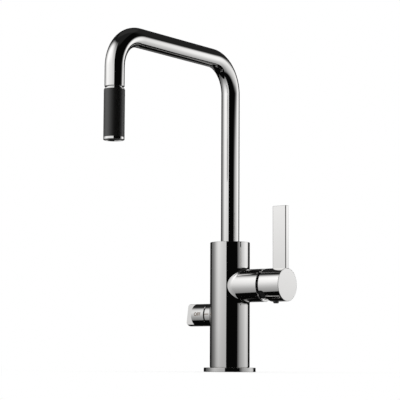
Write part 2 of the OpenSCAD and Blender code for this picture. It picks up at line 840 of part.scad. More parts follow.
// The notch under the handle's rim, round in its inner corner
module handle_notch() {
    translate([handle_start - eps, -lever_d, lever_h]) {
        translate([0, 0, -notch_drop - lever_d])
            cube([notch_len + eps - notch_r, 2 * lever_d, lever_d]);
        translate([0, 0, -notch_drop - notch_r - lever_d])
            cube([notch_len + eps, 2 * lever_d, lever_d]);
    }
    translate([notch_x - notch_r, 0, lever_h - notch_drop - notch_r]) rotate([90, 0, 0])
        cylinder(r = notch_r, h = 2 * lever_d, center = true);
}

// The blade's cross-section, from its inner edge towards +X
module blade_section() {
    translate([blade_edge, -blade_t / 2]) square([blade_w - 2 * blade_edge, blade_t]);
    translate([0, -blade_t / 2 + blade_edge]) square([blade_w, blade_t - 2 * blade_edge]);
    for (x = [blade_edge, blade_w - blade_edge]) {
        for (side = [-1, 1]) {
            translate([x, side * (blade_t / 2 - blade_edge)]) circle(r = blade_edge);
        }
    }
}

module lever_handle() {
    color(chrome) difference() {
        towards_lever(handle_start) turned(lever_d, handle_len, column_edge, column_edge);
        handle_bevel();
        handle_notch();
        translate([pivot_x, 0, lever_h]) sphere(r = hollow_r);
        translate([pivot_x, -stem_socket_w / 2, lever_h - stem_socket_w / 2])
            cube([stem_end - pivot_x + slip, stem_socket_w, stem_socket_w]);
        translate([grub_x, 0, lever_h - lever_d]) cylinder(d = grub_d, h = lever_d);
        translate([grub_x, 0, lever_h - lever_d])
            cylinder(d = plug_stem_d, h = lever_d / 2 + plug_in);
        translate([grub_x, 0, lever_h - lever_d])
            cylinder(d = plug_d, h = lever_d / 2 + plug_seat);
        translate([blade_start, 0, lever_h + lever_d / 2 - blade_foot])
            linear_extrude(blade_foot + eps) blade_section();
    }
}

module lever_blade() {
    color(chrome)
        translate([blade_start, 0, lever_h + lever_d / 2 - blade_foot])
        linear_extrude(blade_rise - lever_d / 2 + blade_foot) blade_section();
}

module handle_grub_screw() {
    color(steel) translate([grub_x, 0, lever_h + grub_top - grub_len]) difference() {
        cylinder(d = grub_d, h = grub_len);
        translate([0, 0, -eps]) cylinder(d = hex_d, h = hex_depth + eps, $fn = 6);
    }
}

module screw_plug() {
    color(black_plastic) translate([grub_x, 0, lever_h - lever_d / 2]) {
        cylinder(d = plug_stem_d, h = plug_in);
        translate([0, 0, -plug_proud]) turned(plug_d, plug_proud + plug_seat, 0, plug_edge);
    }
}

module valve_headwork() {
    color(raw_brass) towards_valve() difference() {
        union() {
            translate([0, 0, valve_disc_x])
                cylinder(d = headwork_d, h = headwork_step - valve_disc_x);
            translate([0, 0, headwork_step - eps])
                cylinder(d = headwork_neck_d, h = headwork_end - headwork_step + eps);
        }
        translate([0, 0, valve_disc_x - eps])
            cylinder(d = headwork_bore, h = headwork_neck_x - valve_disc_x + eps);
        translate([0, 0, valve_disc_x])
            cylinder(d = spindle_d + 2 * run_gap, h = headwork_end);
        translate([0, 0, valve_ring_x])
            ring(headwork_d + 1, headwork_d - 2 * groove_in, valve_ring_w);
        for (turn = [0, 90]) {
            translate([0, 0, valve_moving_x]) rotate([90, 0, turn])
                cylinder(d = window_d, h = 2 * headwork_d, center = true);
        }
    }
}

module valve_seat_seal() {
    color(black_rubber) towards_valve(valve_floor)
        ring(valve_disc_d, valve_disc_d - 2 * valve_seal_w, valve_seal_t);
}

module valve_fixed_disc() {
    color(white_ceramic) towards_valve(valve_disc_x) difference() {
        cylinder(d = headwork_bore, h = valve_disc_t);
        for (side = [-1, 1]) {
            translate([0, side * valve_port_r, -eps])
                cylinder(d = valve_port_d, h = valve_disc_t + 2 * eps);
        }
    }
}

module valve_o_ring() {
    color(black_rubber) towards_valve(valve_ring_x)
        ring(valve_chamber_d, headwork_d - 2 * groove_in, valve_ring_w);
}

module valve_spindle() {
    color(raw_brass) towards_valve() {
        translate([0, 0, spindle_x]) cylinder(d = spindle_plate_d, h = spindle_plate_t);
        difference() {
            translate([0, 0, spindle_x]) cylinder(d = spindle_d, h = spindle_end - spindle_x);
            translate([0, 0, clip_x]) ring(spindle_d + 1, spindle_d - 2 * clip_in, clip_t);
        }
    }
}

module valve_moving_disc() {
    color(white_ceramic) towards_valve(valve_moving_x) difference() {
        cylinder(d = valve_disc_d, h = valve_disc_t);
        for (side = [-1, 1]) {
            translate([side * valve_port_r, 0, -eps])
                cylinder(d = valve_port_d, h = valve_pocket + eps);
        }
    }
}

module spindle_clip() {
    color(steel) towards_valve(clip_x)
        ring(spindle_d + 2 * clip_out, spindle_d - 2 * clip_in, clip_t);
}

module valve_knob() {
    color(chrome) difference() {
        towards_valve(knob_start) turned(valve_d, knob_end - knob_start, knob_far_edge, knob_near_edge);
        translate([0, 0, valve_h]) rotate([-bar_turn, 0, 0]) for (side = [-1, 1]) {
            translate([-knob_end - eps, side * (bar_t + valve_d) / 2 - valve_d / 2, -valve_d])
                cube([bar_len + eps, valve_d, 2 * valve_d]);
        }
        towards_valve(knob_start - eps) cylinder(d = knob_hollow_d, h = knob_hollow_end - knob_start + eps);
        towards_valve(knob_start) cylinder(d = spindle_d, h = spindle_end - knob_start + slip);
        translate([-knob_grub_x, 0, valve_h - valve_d]) cylinder(d = knob_grub_d, h = valve_d);
    }
}

module knob_grub_screw() {
    color(steel) translate([-knob_grub_x, 0, valve_h - valve_d / 2 + knob_screw_in]) difference() {
        cylinder(d = knob_grub_d, h = valve_d / 2 - knob_screw_in - spindle_d / 2);
        translate([0, 0, -eps]) cylinder(d = knob_hex_d, h = hex_depth + eps, $fn = 6);
    }
}

body_column();
base_flange();
base_gasket();
spout_thrust_washer();
lower_bush();
friction_ring();
upper_bush();
trim_ring();
spout_stop_screw();
cartridge_base();
cartridge_seals();
fixed_disc();
cartridge_housing();
housing_o_ring();
cartridge_nut();
dome_ring();
valve_headwork();
valve_seat_seal();
valve_fixed_disc();
valve_o_ring();
spout_tube();
spout_foot_ring();
dock_sleeve();
pull_out_hose();
hose_outlet_run();
hose_ferrule();
hose_end_stem();
hose_stem_o_ring();
swivel_nut();
inlet_washer();
spray_core();
spray_collar();
check_valve();
rubber_grip();
outlet_ring();
aerator_seal();
aerator_housing();
aerator_screen();
cartridge_rotor();
pivot_pin();
moving_disc();
disc_carriage();
lever_stem();
lever_handle();
lever_blade();
handle_grub_screw();
screw_plug();
valve_spindle();
valve_moving_disc();
spindle_clip();
valve_knob();
knob_grub_screw();
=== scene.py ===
"""Looks of the kitchen mixer tap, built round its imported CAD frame."""

import json
import logging
import math
from dataclasses import dataclass
from enum import Enum
from typing import Callable, ClassVar, Optional, Sequence, Union

import bmesh
import bpy
import numpy as np
from mathutils import Matrix, Vector

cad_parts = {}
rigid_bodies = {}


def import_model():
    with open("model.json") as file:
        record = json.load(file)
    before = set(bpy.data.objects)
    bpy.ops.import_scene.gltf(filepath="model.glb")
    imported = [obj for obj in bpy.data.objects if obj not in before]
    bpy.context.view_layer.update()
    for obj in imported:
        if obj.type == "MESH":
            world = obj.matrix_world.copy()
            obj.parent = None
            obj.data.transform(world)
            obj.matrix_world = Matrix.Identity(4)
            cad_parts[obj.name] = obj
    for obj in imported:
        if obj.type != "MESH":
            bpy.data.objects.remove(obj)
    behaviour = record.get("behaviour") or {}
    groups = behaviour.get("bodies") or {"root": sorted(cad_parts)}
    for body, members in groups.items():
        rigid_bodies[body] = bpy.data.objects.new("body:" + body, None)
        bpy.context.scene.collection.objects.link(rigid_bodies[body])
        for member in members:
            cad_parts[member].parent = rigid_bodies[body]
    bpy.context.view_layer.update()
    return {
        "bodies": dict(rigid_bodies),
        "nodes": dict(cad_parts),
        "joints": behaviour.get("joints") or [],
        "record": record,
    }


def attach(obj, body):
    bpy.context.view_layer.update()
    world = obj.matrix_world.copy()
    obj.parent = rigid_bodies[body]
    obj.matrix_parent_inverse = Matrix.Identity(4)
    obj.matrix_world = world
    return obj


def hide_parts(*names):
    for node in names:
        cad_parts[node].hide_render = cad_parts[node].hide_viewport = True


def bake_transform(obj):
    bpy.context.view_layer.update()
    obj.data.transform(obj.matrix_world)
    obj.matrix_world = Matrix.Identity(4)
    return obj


log = logging.getLogger("tap")

MM = 0.001
DEG = 180.0 / math.pi
TURN = 2.0 * math.pi
QUARTER = math.pi / 2.0
UP = np.array([0.0, 0.0, 1.0])
WHITE = (1.0, 1.0, 1.0, 1.0)
GRAINS_IN_CELL = 6.0  # how many grains a noise shows across one of its cells
FINE_DEPTH = 0.0002  # metres that a fine bump is deep
SAME_PLACE = 2e-8  # points closer than this many metres become one
NO_TURN = 1e-9  # a corner whose half angle has a smaller tangent counts as straight
MOST_REACH = 0.499  # share of a side that the rounding of one corner may take
BEND_ROWS = 41  # rows of points in a quarter bend
SUNK_MM = 0.5  # how far a blend's hidden line lies inside the metal
RIM_LET_IN = 1.15  # width of a rim's section as a multiple of its rounding

# Sizes in millimetres that more than one sub-assembly needs.
REACH = 212.0
HOSE_END_Z = 323.1
LEVER_H = 101.0
LEVER_R = 19.4
VALVE_H = 67.5
VALVE_R = 13.35
RIM = 0.8

Value = Union["Wire", int, float]
Pair = tuple[float, float]
Color = tuple[float, float, float]
Stops = Sequence[Pair]
Corner = tuple[float, float, float]
Edges = tuple[float, float, float, float]


class Body(Enum):
    """The bodies that new pieces ride on."""

    TAP = "tap_body"
    SPOUT = "spout"
    HOSE_END = "hose_end"
    SPRAY = "spray_head"
    LEVER = "lever"
    KNOB = "side_knob"


class Slot(Enum):
    """The record's material slots."""

    CHROME = "chrome"
    BRASS = "raw_brass"
    STEEL = "steel"
    RUBBER = "black_rubber"
    BLACK_PLASTIC = "black_plastic"
    PALE_PLASTIC = "pale_plastic"
    CERAMIC = "white_ceramic"
    HOSE = "hose_grey"


class Axis(Enum):
    """The level axes of the two bosses, each as the turn about Y that brings Z onto it."""

    LEVER_SIDE = 90.0
    VALVE_SIDE = -90.0


# ---- Shader helpers ----


class Wire:
    """One value socket of a node tree, with arithmetic that adds Math nodes."""

    def __init__(self, book: "NodeBook", socket: bpy.types.NodeSocket) -> None:
        """Keeps the socket and the book that adds nodes to its tree."""
        self.book = book
        self.socket = socket

    def _math(self, operation: str, *values: Value) -> "Wire":
        """Adds one Math node and returns its output."""
        return self.book.add("ShaderNodeMath", {"operation": operation}, list(values))

    def __add__(self, other: Value) -> "Wire":
        """Sum."""
        return self._math("ADD", self, other)

    __radd__ = __add__

    def __sub__(self, other: Value) -> "Wire":
        """Difference."""
        return self._math("SUBTRACT", self, other)

    def __rsub__(self, other: Value) -> "Wire":
        """Reflected difference."""
        return self._math("SUBTRACT", other, self)

    def __mul__(self, other: Value) -> "Wire":
        """Product."""
        return self._math("MULTIPLY", self, other)

    __rmul__ = __mul__

    def __pow__(self, other: Value) -> "Wire":
        """Power."""
        return self._math("POWER", self, other)

    def of(self, operation: str, *values: Value) -> "Wire":
        """Any other Math operation on this value."""
        return self._math(operation, self, *values)

    def step(self, low: float, high: float) -> "Wire":
        """0 below low, 1 above high and a smooth step between them."""
        inputs = {"Value": self, "From Min": low, "From Max": high}
        return self.book.add("ShaderNodeMapRange", {"interpolation_type": "SMOOTHSTEP"}, inputs)

    def between(self, low: float, high: float, soft: float) -> "Wire":
        """1 between low and high, with soft edges."""
        return self.step(low - soft, low + soft) * (1.0 - self.step(high - soft, high + soft))

    def ramp(self, stops: Stops, most: float = 1.0) -> "Wire":
        """A grey ramp through (place, value) stops, whose values reach up to most."""
        shares = [(place, value / most) for place, value in stops]
        return self.book.add("ShaderNodeValToRGB", {"stops": shares}, {"Fac": self}) * most


class NodeBook:
    """Adds nodes to one node tree."""

    def __init__(self, tree: bpy.types.NodeTree) -> None:
        """Empties the tree."""
        self.tree = tree
        tree.nodes.clear()

    def add(
        self,
        kind: str,
        settings: Optional[dict] = None,
        inputs: Optional[Union[dict, list]] = None,
        output: Union[int, str] = 0,
    ) -> Wire:
        """Adds a node of any type.

        Args:
            kind: the node's type name.
            settings: properties to set first; "stops" fills a colour ramp.
            inputs: values or wires by socket name or place.
            output: the output to return.

        Returns:
            The chosen output as a wire.
        """
        node = self.tree.nodes.new(kind)
        for name, value in (settings or {}).items():
            if name == "stops":
                self._fill_ramp(node.color_ramp, value)
            else:
                setattr(node, name, value)
        pairs = inputs.items() if isinstance(inputs, dict) else enumerate(inputs or [])
        for key, value in pairs:
            self.put(node.inputs[key], value)
        return Wire(self, node.outputs[output] if len(node.outputs) else node.inputs[0])

    def put(self, socket: bpy.types.NodeSocket, value: Union[Value, Sequence[float]]) -> None:
        """Links a wire into a socket, or sets the socket's own value.

        Args:
            socket: the socket to feed.
            value: a wire, or what the socket itself is to hold.
        """
        if isinstance(value, Wire):
            self.tree.links.new(value.socket, socket)
        else:
            socket.default_value = value

    @staticmethod
    def _fill_ramp(ramp: bpy.types.ColorRamp, stops: Stops) -> None:
        """Sets a colour ramp's stops.

        Args:
            ramp: the ramp of a new node, which has two stops.
            stops: (place, grey value) of each stop.
        """
        for _ in stops[2:]:
            ramp.elements.new(0.5)
        for element, (place, value) in zip(ramp.elements, stops):
            element.position, element.color = place, (value, value, value, 1.0)

    def place(self) -> Wire:
        """The place on the piece, in metres."""
        return self.add("ShaderNodeTexCoord", output="Object")

    def parts(self, vector: Wire) -> list[Wire]:
        """The vector's x, y and z."""
        x = self.add("ShaderNodeSeparateXYZ", {}, [vector])
        return [Wire(self, output) for output in x.socket.node.outputs]

    def noise(self, where: Wire, scale: float, detail: float, roughness: float = 0.5) -> Wire:
        """A soft noise with that many cells in a metre."""
        inputs = {"Vector": where, "Scale": scale, "Detail": detail, "Roughness": roughness}
        return self.add("ShaderNodeTexNoise", {}, inputs)

    def grain(self, where: Wire, size_mm: float, detail: float) -> Wire:
        """A noise of that grain: one of its cells spans several grains."""
        return self.noise(where, 1.0 / (size_mm * MM * GRAINS_IN_CELL), detail)

    def bump(self, height: Wire, strength: float, depth: float = FINE_DEPTH) -> Wire:
        """A bumped normal, depth metres deep where the height is 1."""
        return self.add("ShaderNodeBump", {}, {"Height": height, "Strength": strength, "Distance": depth})

    def mix(self, factor: Wire, color: Color, dark: float, pale: float) -> Wire:
        """The colour, times dark at factor 0 and times pale at factor 1."""
        low, high = ((*(min(1.0, part * times) for part in color), 1.0) for times in (dark, pale))
        return self.add("ShaderNodeMix", {"data_type": "RGBA"}, {"Factor": factor, 6: low, 7: high}, 2)

    def glow(self, strength: Value) -> Wire:
        """A white light of that strength."""
        return self.add("ShaderNodeEmission", {}, {"Color": WHITE, "Strength": strength})

    def surface(self, shader: Wire) -> None:
        """Makes a shader the material's surface."""
        self.add("ShaderNodeOutputMaterial", {}, {"Surface": shader})

    def principled(self, inputs: dict[str, Union[Value, Sequence[float]]]) -> Wire:
        """A Principled shader with those inputs."""
        return self.add("ShaderNodeBsdfPrincipled", {}, inputs)


# ---- Mesh helpers ----


@dataclass
class Loop:
    """A closed outline in a plane: its points and the outward normal at each of them."""

    points: np.ndarray
    normals: np.ndarray

    @classmethod
    def rounded(cls, corners: Sequence[Corner], steps: int = 6) -> "Loop":
        """Makes an anticlockwise outline from corners in millimetres.

        A corner (x, y, reach) becomes the arc that touches both of its sides at that reach. With
        a turn of t between the sides, the arc's radius is reach / tan(t / 2), and its normals
        turn evenly from one side's normal to the other's. A reach of 0 leaves a sharp corner,
        kept as two points with a normal each.

        Args:
            corners: the corners in order.
            steps: steps on each arc.

        Returns:
            The outline in metres.
        """
        at = np.array([c[:2] for c in corners], float) * MM
        reach = np.array([c[2] for c in corners], float) * MM
        before, after = at - np.roll(at, 1, 0), np.roll(at, -1, 0) - at
        span_b, span_a = np.linalg.norm(before, axis=1), np.linalg.norm(after, axis=1)
        before, after = before / span_b[:, None], after / span_a[:, None]
        reach = np.minimum(reach, MOST_REACH * np.minimum(span_b, span_a))
        turn = np.arctan2(before[:, 0] * after[:, 1] - before[:, 1] * after[:, 0], (before * after).sum(1))
        half = np.tan(turn / 2.0)
        turns = np.abs(half) > NO_TURN
        radius = np.where(turns, reach / np.where(turns, half, 1.0), 0.0)
        outward = np.stack([before[:, 1], -before[:, 0]], -1)
        centre = at - before * reach[:, None] - outward * radius[:, None]
        swing = turn[:, None] * np.linspace(0.0, 1.0, steps + 1)
        cos, sin = np.cos(swing), np.sin(swing)
        x, y = outward[:, :1], outward[:, 1:]
        normals = np.stack([x * cos - y * sin, x * sin + y * cos], -1)
        points = centre[:, None] + normals * radius[:, None, None]
        points = np.where((radius == 0.0)[:, None, None], at[:, None], points)
        keep = np.ones(swing.shape, bool)
        keep[reach == 0.0, 1:-1] = False
        return cls(points[keep], normals[keep])


@dataclass
class Skin:
    """A closed surface as arrays, with the true normal at every face corner."""

    points: np.ndarray
    quads: np.ndarray
    normals: np.ndarray
    shares: np.ndarray

    @classmethod
    def grid(cls, points: np.ndarray, normals: np.ndarray, close_rows: bool = True) -> "Skin":
        """Makes a surface from a rows x columns grid that closes round its columns.

        Face (i, j) joins the points (i, j), (i, j + 1), (i + 1, j + 1) and (i + 1, j); the last
        column, and the last row if it is closed, join the first. Shares are (j / columns, i / rows).

        Args:
            points: rows x columns x 3 places.
            normals: the outward normals there.
            close_rows: whether the last row joins the first.

        Returns:
            The surface.
        """
        rows, columns = points.shape[:2]
        i, j = np.meshgrid(np.arange(rows if close_rows else rows - 1), np.arange(columns), indexing="ij")
        row = np.stack([i, i, i + 1, i + 1], -1).reshape(-1, 4)
        column = np.stack([j, j + 1, j + 1, j], -1).reshape(-1, 4)
        quads = (row % rows) * columns + column % columns
        shares = np.stack([column / columns, row / rows], -1)
        return cls(points.reshape(-1, 3), quads, normals.reshape(-1, 3)[quads], shares)

    def placed(self, frame: Matrix) -> "Skin":
        """Moves the surface rigidly by a 4 x 4 matrix."""
        m = np.array(frame, float)
        return Skin(self.points @ m[:3, :3].T + m[:3, 3], self.quads, self.normals @ m[:3, :3].T, self.shares)

    def piece(self, name: str) -> bpy.types.Object:
        """Makes the mesh object.

        Points that share a place become one, corners that then repeat are dropped, and each face
        is wound so that its corners run anticlockwise seen from outside, where its normals point.

        Args:
            name: the piece's name.

        Returns:
            The linked object.
        """
        spots = np.round(self.points / SAME_PLACE).astype(np.int64)
        _, first, same = np.unique(spots, axis=0, return_index=True, return_inverse=True)
        points, quads = self.points[first], same.reshape(-1)[self.quads]
        corner = points[quads]
        across = np.cross(corner[:, 2] - corner[:, 0], corner[:, 3] - corner[:, 1])
        back = (across * self.normals.mean(1)).sum(1) < 0.0
        quads = np.where(back[:, None], quads[:, ::-1], quads)
        normals = np.where(back[:, None, None], self.normals[:, ::-1], self.normals)
        shares = np.where(back[:, None, None], self.shares[:, ::-1], self.shares)
        keep = quads != np.roll(quads, 1, axis=1)
        whole = keep.sum(1) > 2
        quads, normals, shares, keep = quads[whole], normals[whole], shares[whole], keep[whole]
        count = keep.sum(1)
        mesh = bpy.data.meshes.new(name)
        mesh.vertices.add(len(points))
        mesh.vertices.foreach_set("co", points.astype(np.float32).ravel())
        mesh.loops.add(int(count.sum()))
        mesh.loops.foreach_set("vertex_index", quads[keep].astype(np.int32))
        mesh.polygons.add(len(count))
        mesh.polygons.foreach_set("loop_start", (np.cumsum(count) - count).astype(np.int32))
        mesh.update(calc_edges=True)
        mesh.polygons.foreach_set("use_smooth", np.ones(len(count), bool))
        mesh.uv_layers.new(name="shares").data.foreach_set("uv", shares[keep].astype(np.float32).ravel())
        mesh.normals_split_custom_set(normals[keep].tolist())
        return linked(name, mesh)


def linked(name: str, mesh: bpy.types.Mesh) -> bpy.types.Object:
    """Makes an object of a mesh and links it to the scene.

    Args:
        name: the object's name.
        mesh: its mesh.

    Returns:
        The linked object.
    """
    piece = bpy.data.objects.new(name, mesh)
    bpy.context.scene.collection.objects.link(piece)
    return piece


Course = tuple[np.ndarray, np.ndarray, np.ndarray]
Route = Callable[[np.ndarray], Course]


def straight(length: np.ndarray) -> Course:
    """The route up the Z axis.

    Args:
        length: lengths along the route.

    Returns:
        The place, the direction and the sideways direction at each length.
    """
    zero, one = np.zeros_like(length), np.ones_like(length)
    lines = ([zero, zero, length], [zero, zero, one], [zero, one, zero])
    return tuple(np.stack(line, -1) for line in lines)


def turned(outline: Loop, sides: int = 192, route: Route = straight) -> Skin:
    """Carries an outline (radius, length) round a route.

    At angle a the point is place(length) + radius (cos a s + sin a u), where u is the route's
    sideways direction and s stands square to u and the route; its normal is built the same way,
    with the along part on the route's direction.

    Args:
        outline: closed outline of radius and length.
        sides: columns round the route.
        route: the line that the outline's length follows.

    Returns:
        The surface.
    """
    angle = np.linspace(0.0, TURN, sides, endpoint=False)
    place, along, up = route(outline.points[:, 1])
    side = np.cross(along, up)
    spoke = np.cos(angle)[None, :, None] * side[:, None] + np.sin(angle)[None, :, None] * up[:, None]
    points = place[:, None] + spoke * outline.points[:, :1, None]
    normals = spoke * outline.normals[:, :1, None] + along[:, None] * outline.normals[:, 1:, None]
    return Skin.grid(points, normals)


def raised(outline: Loop, low: float, high: float, edge: float, steps: int = 5) -> Skin:
    """Raises an outline (x, y) into a bar with a rounded top edge.

    Row k of the edge lies at high - edge (1 - sin q) and is drawn in by edge (1 - cos q), for q
    from 0 to a quarter turn; both ends close in a fan to the outline's middle.

    Args:
        outline: closed outline.
        low: height of the lower end in millimetres.
        high: height of the upper end.
        edge: radius of the top edge.
        steps: steps on that edge.

    Returns:
        The surface.
    """
    q = np.linspace(0.0, QUARTER, steps + 1)
    low, high, edge = low * MM, high * MM, edge * MM
    height = np.concatenate([[low, low, low], high - edge + edge * np.sin(q), [high]])
    inset = np.concatenate([[0.0, 0.0, 0.0], edge * (1.0 - np.cos(q)), [0.0]])
    tilt = np.concatenate([[-QUARTER, -QUARTER, 0.0], q, [QUARTER]])
    middle = (outline.points.min(0) + outline.points.max(0)) / 2.0
    flat = outline.points[None] - outline.normals[None] * inset[:, None, None]
    flat[[0, -1]] = middle
    one = np.ones(flat.shape[:2] + (1,))
    points = np.concatenate([flat, one * height[:, None, None]], -1)
    side = np.cos(tilt)[:, None, None] * outline.normals[None]
    normals = np.concatenate([side, one * np.sin(tilt)[:, None, None]], -1)
    return Skin.grid(points, normals, close_rows=False)


def saddle(
    column_r: float, boss_r: float, blend_r: float, swell: float = 0.0, sides: int = 256, steps: int = 10
) -> Skin:
    """The concave blend where a boss along +X leaves an upright column.

    A ball rolls in the corner. At angle b round the boss its radius is blend_r (1 + swell cos b
    squared), so that it grows where the two surfaces meet at a shallow angle. Its middle is at
    y = -(boss_r + radius) cos b, z = (boss_r + radius) sin b and x = the square root of
    (column_r + radius) squared less y squared. The surface is the ball's arc between its two
    contact points, and a third line inside the metal closes it.

    Args:
        column_r: the column's radius in millimetres.
        boss_r: the boss's radius.
        blend_r: the ball's radius over and under the boss.
        swell: how much larger the ball is beside the boss.
        sides: columns round the boss.
        steps: steps on the arc.

    Returns:
        The surface, for a boss whose axis is the X axis.
    """
    b = np.linspace(0.0, TURN, sides, endpoint=False)
    cos, sin = np.cos(b), np.sin(b)
    column_r, boss_r = column_r * MM, boss_r * MM
    radius = blend_r * MM * (1.0 + swell * cos**2)
    y, z = -(boss_r + radius) * cos, (boss_r + radius) * sin
    ball = np.stack([np.sqrt((column_r + radius) ** 2 - y**2), y, z], -1)
    shrink_c, shrink_b, one = column_r / (column_r + radius), boss_r / (boss_r + radius), np.ones(sides)
    on_column = ball * np.stack([shrink_c, shrink_c, one], -1)
    on_boss = ball * np.stack([one, shrink_b, shrink_b], -1)
    radius = radius[:, None]
    start, end = (on_column - ball) / radius, (on_boss - ball) / radius
    open_angle = np.arccos(np.clip((start * end).sum(1), -1.0, 1.0))[None, :, None]
    t = np.linspace(0.0, 1.0, steps + 1)[:, None, None]
    arc = (np.sin((1.0 - t) * open_angle) * start + np.sin(t * open_angle) * end) / np.sin(open_angle)
    sunk = SUNK_MM * MM
    inner = boss_r - sunk
    hidden = np.stack([np.sqrt(column_r**2 - (inner * cos) ** 2) - sunk, -inner * cos, inner * sin], -1)
    inward = np.broadcast_to(arc[steps // 2], (3, sides, 3))
    points = np.concatenate([ball + arc * radius, np.stack([on_boss, hidden, on_column])])
    return Skin.grid(points, np.concatenate([-arc, inward]))


def section(inner: float, outer: float, low: float, high: float, reaches: Edges) -> list[Corner]:
    """The corners of a four-sided section, anticlockwise from the inner lower one, with their reaches."""
    spots = ((inner, low), (outer, low), (outer, high), (inner, high))
    return [(*spot, reach) for spot, reach in zip(spots, reaches)]


def sleeve(outer: float, inner: float, stops: Stops) -> list[Corner]:
    """A tube's section: up its outside through (length, reach) stops, and back down its inside."""
    return [(outer, *stop) for stop in stops] + [(inner, *stop) for stop in reversed(stops)]


def axis_frame(height: float, axis: Axis) -> Matrix:
    """A frame that height over the origin, whose local Z lies along one of the bosses' axes."""
    return lifted(height) @ Matrix.Rotation(math.radians(axis.value), 4, "Y")


def lifted(height: float) -> Matrix:
    """A frame that height, in millimetres, over the origin."""
    return Matrix.Translation((0.0, 0.0, height * MM))


def sheet(name: str, points: np.ndarray) -> bpy.types.Object:
    """An open sheet for the studio from a rows x columns grid of points.

    Face (i, j) joins the points (i, j), (i + 1, j), (i + 1, j + 1) and (i, j + 1), and its shares
    run from 0 to 1 along the rows and along the columns.

    Args:
        name: the sheet's name.
        points: rows x columns x 3 places.

    Returns:
        The linked object.
    """
    rows, columns = points.shape[:2]
    i, j = (a.ravel() for a in np.meshgrid(np.arange(rows - 1), np.arange(columns - 1), indexing="ij"))
    first = i * columns + j
    quads = np.stack([first, first + columns, first + columns + 1, first + 1], -1)
    shares = np.stack(np.meshgrid(np.linspace(0, 1, rows), np.linspace(0, 1, columns), indexing="ij"), -1)
    mesh = bpy.data.meshes.new(name)
    mesh.from_pydata(points.reshape(-1, 3).tolist(), [], quads.tolist())
    corners = shares.reshape(-1, 2)[quads].astype(np.float32)
    mesh.uv_layers.new(name="shares").data.foreach_set("uv", corners.ravel())
    return linked(name, mesh)


# ---- Finishes ----


def new_material(name: str) -> tuple[bpy.types.Material, NodeBook]:
    """Makes a material with no nodes.

    Args:
        name: the material's name.

    Returns:
        The material and the book that adds its nodes.
    """
    made = bpy.data.materials.new(name)
    made.use_nodes = True
    return made, NodeBook(made.node_tree)


@dataclass(frozen=True)
class Finish:
    """A material with a plain colour, a slight mottle and a fine bump."""

    name: str
    color: Color
    metallic: float = 0.0
    roughness: float = 0.4
    mottle: float = 0.04
    grain_mm: float = 2.0
    bump: float = 0.05
    bump_mm: float = 0.4
    rough_swing: float = 0.05
    ior: float = 1.45
    coat: float = 0.0
    stretch: tuple[float, float, float] = (1.0, 1.0, 1.0)
    made: ClassVar[dict[str, bpy.types.Material]] = {}

    def material(self) -> bpy.types.Material:
        """Builds the material once.

        Returns:
            The material.
        """
        if self.name not in self.made:
            self.made[self.name], book = new_material(self.name)
            self.wire_up(book, book.place())
        return self.made[self.name]

    def tint(self, book: NodeBook, factor: Wire) -> Wire:
        """The colour, a little darker at factor 0 and a little paler at 1."""
        return book.mix(factor, self.color, 1 - self.mottle, 1 + self.mottle)

    def clouds(self, book: NodeBook, where: Wire) -> Wire:
        """The soft noise that tone and roughness follow."""
        return book.grain(where, self.grain_mm, detail=3.0)

    def pores(self, book: NodeBook, where: Wire) -> Wire:
        """The fine bump of the face, as a normal."""
        return book.bump(book.grain(where, self.bump_mm, detail=2.0), self.bump)

    def wire_up(self, book: NodeBook, where: Wire) -> None:
        """Adds the shader: colour and roughness swing with a soft noise, and a finer one bumps the face.

        Args:
            book: the material's nodes.
            where: the place on the piece.
        """
        soft = self.clouds(book, where)
        drawn = book.add("ShaderNodeVectorMath", {"operation": "MULTIPLY"}, [where, self.stretch])
        shader = book.principled(
            {
                "Base Color": self.tint(book, soft),
                "Metallic": self.metallic,
                "Roughness": (soft - 0.5) * self.rough_swing + self.roughness,
                "IOR": self.ior,
                "Coat Weight": self.coat,
                "Normal": self.pores(book, drawn),
            }
        )
        book.surface(shader)


@dataclass(frozen=True)
class TurnedFinish(Finish):
    """Bare turned metal, whose fine marks run round upright axes."""

    metallic: float = 1.0
    grain_mm: float = 3.0
    stretch: tuple[float, float, float] = (0.05, 0.05, 1.0)


@dataclass(frozen=True)
class ChromeFinish(Finish):
    """Polished chrome: a broad shallow waviness from polishing and faint fine scratches."""

    metallic: float = 1.0
    roughness: float = 0.03
    rough_swing: float = 0.02
    mottle: float = 0.01
    grain_mm: float = 14.0
    wave_mm: float = 30.0
    wave_depth_mm: float = 0.02
    haze_edge: Pair = (0.45, 0.8)

    def wire_up(self, book: NodeBook, where: Wire) -> None:
        """Adds the shader: two noises, one broad for the waviness and one fine for the haze of wiping.

        Args:
            book: the material's nodes.
            where: the place on the piece.
        """
        broad = book.noise(where, 1.0 / (self.wave_mm * MM), detail=1.0)
        haze = book.noise(where, 1.0 / (self.grain_mm * MM), detail=4.0, roughness=0.65)
        shader = book.principled(
            {
                "Base Color": self.tint(book, haze),
                "Metallic": self.metallic,
                "Roughness": haze.step(*self.haze_edge) * self.rough_swing + self.roughness,
                "Normal": book.bump(broad, strength=1.0, depth=self.wave_depth_mm * MM),
            }
        )
        book.surface(shader)


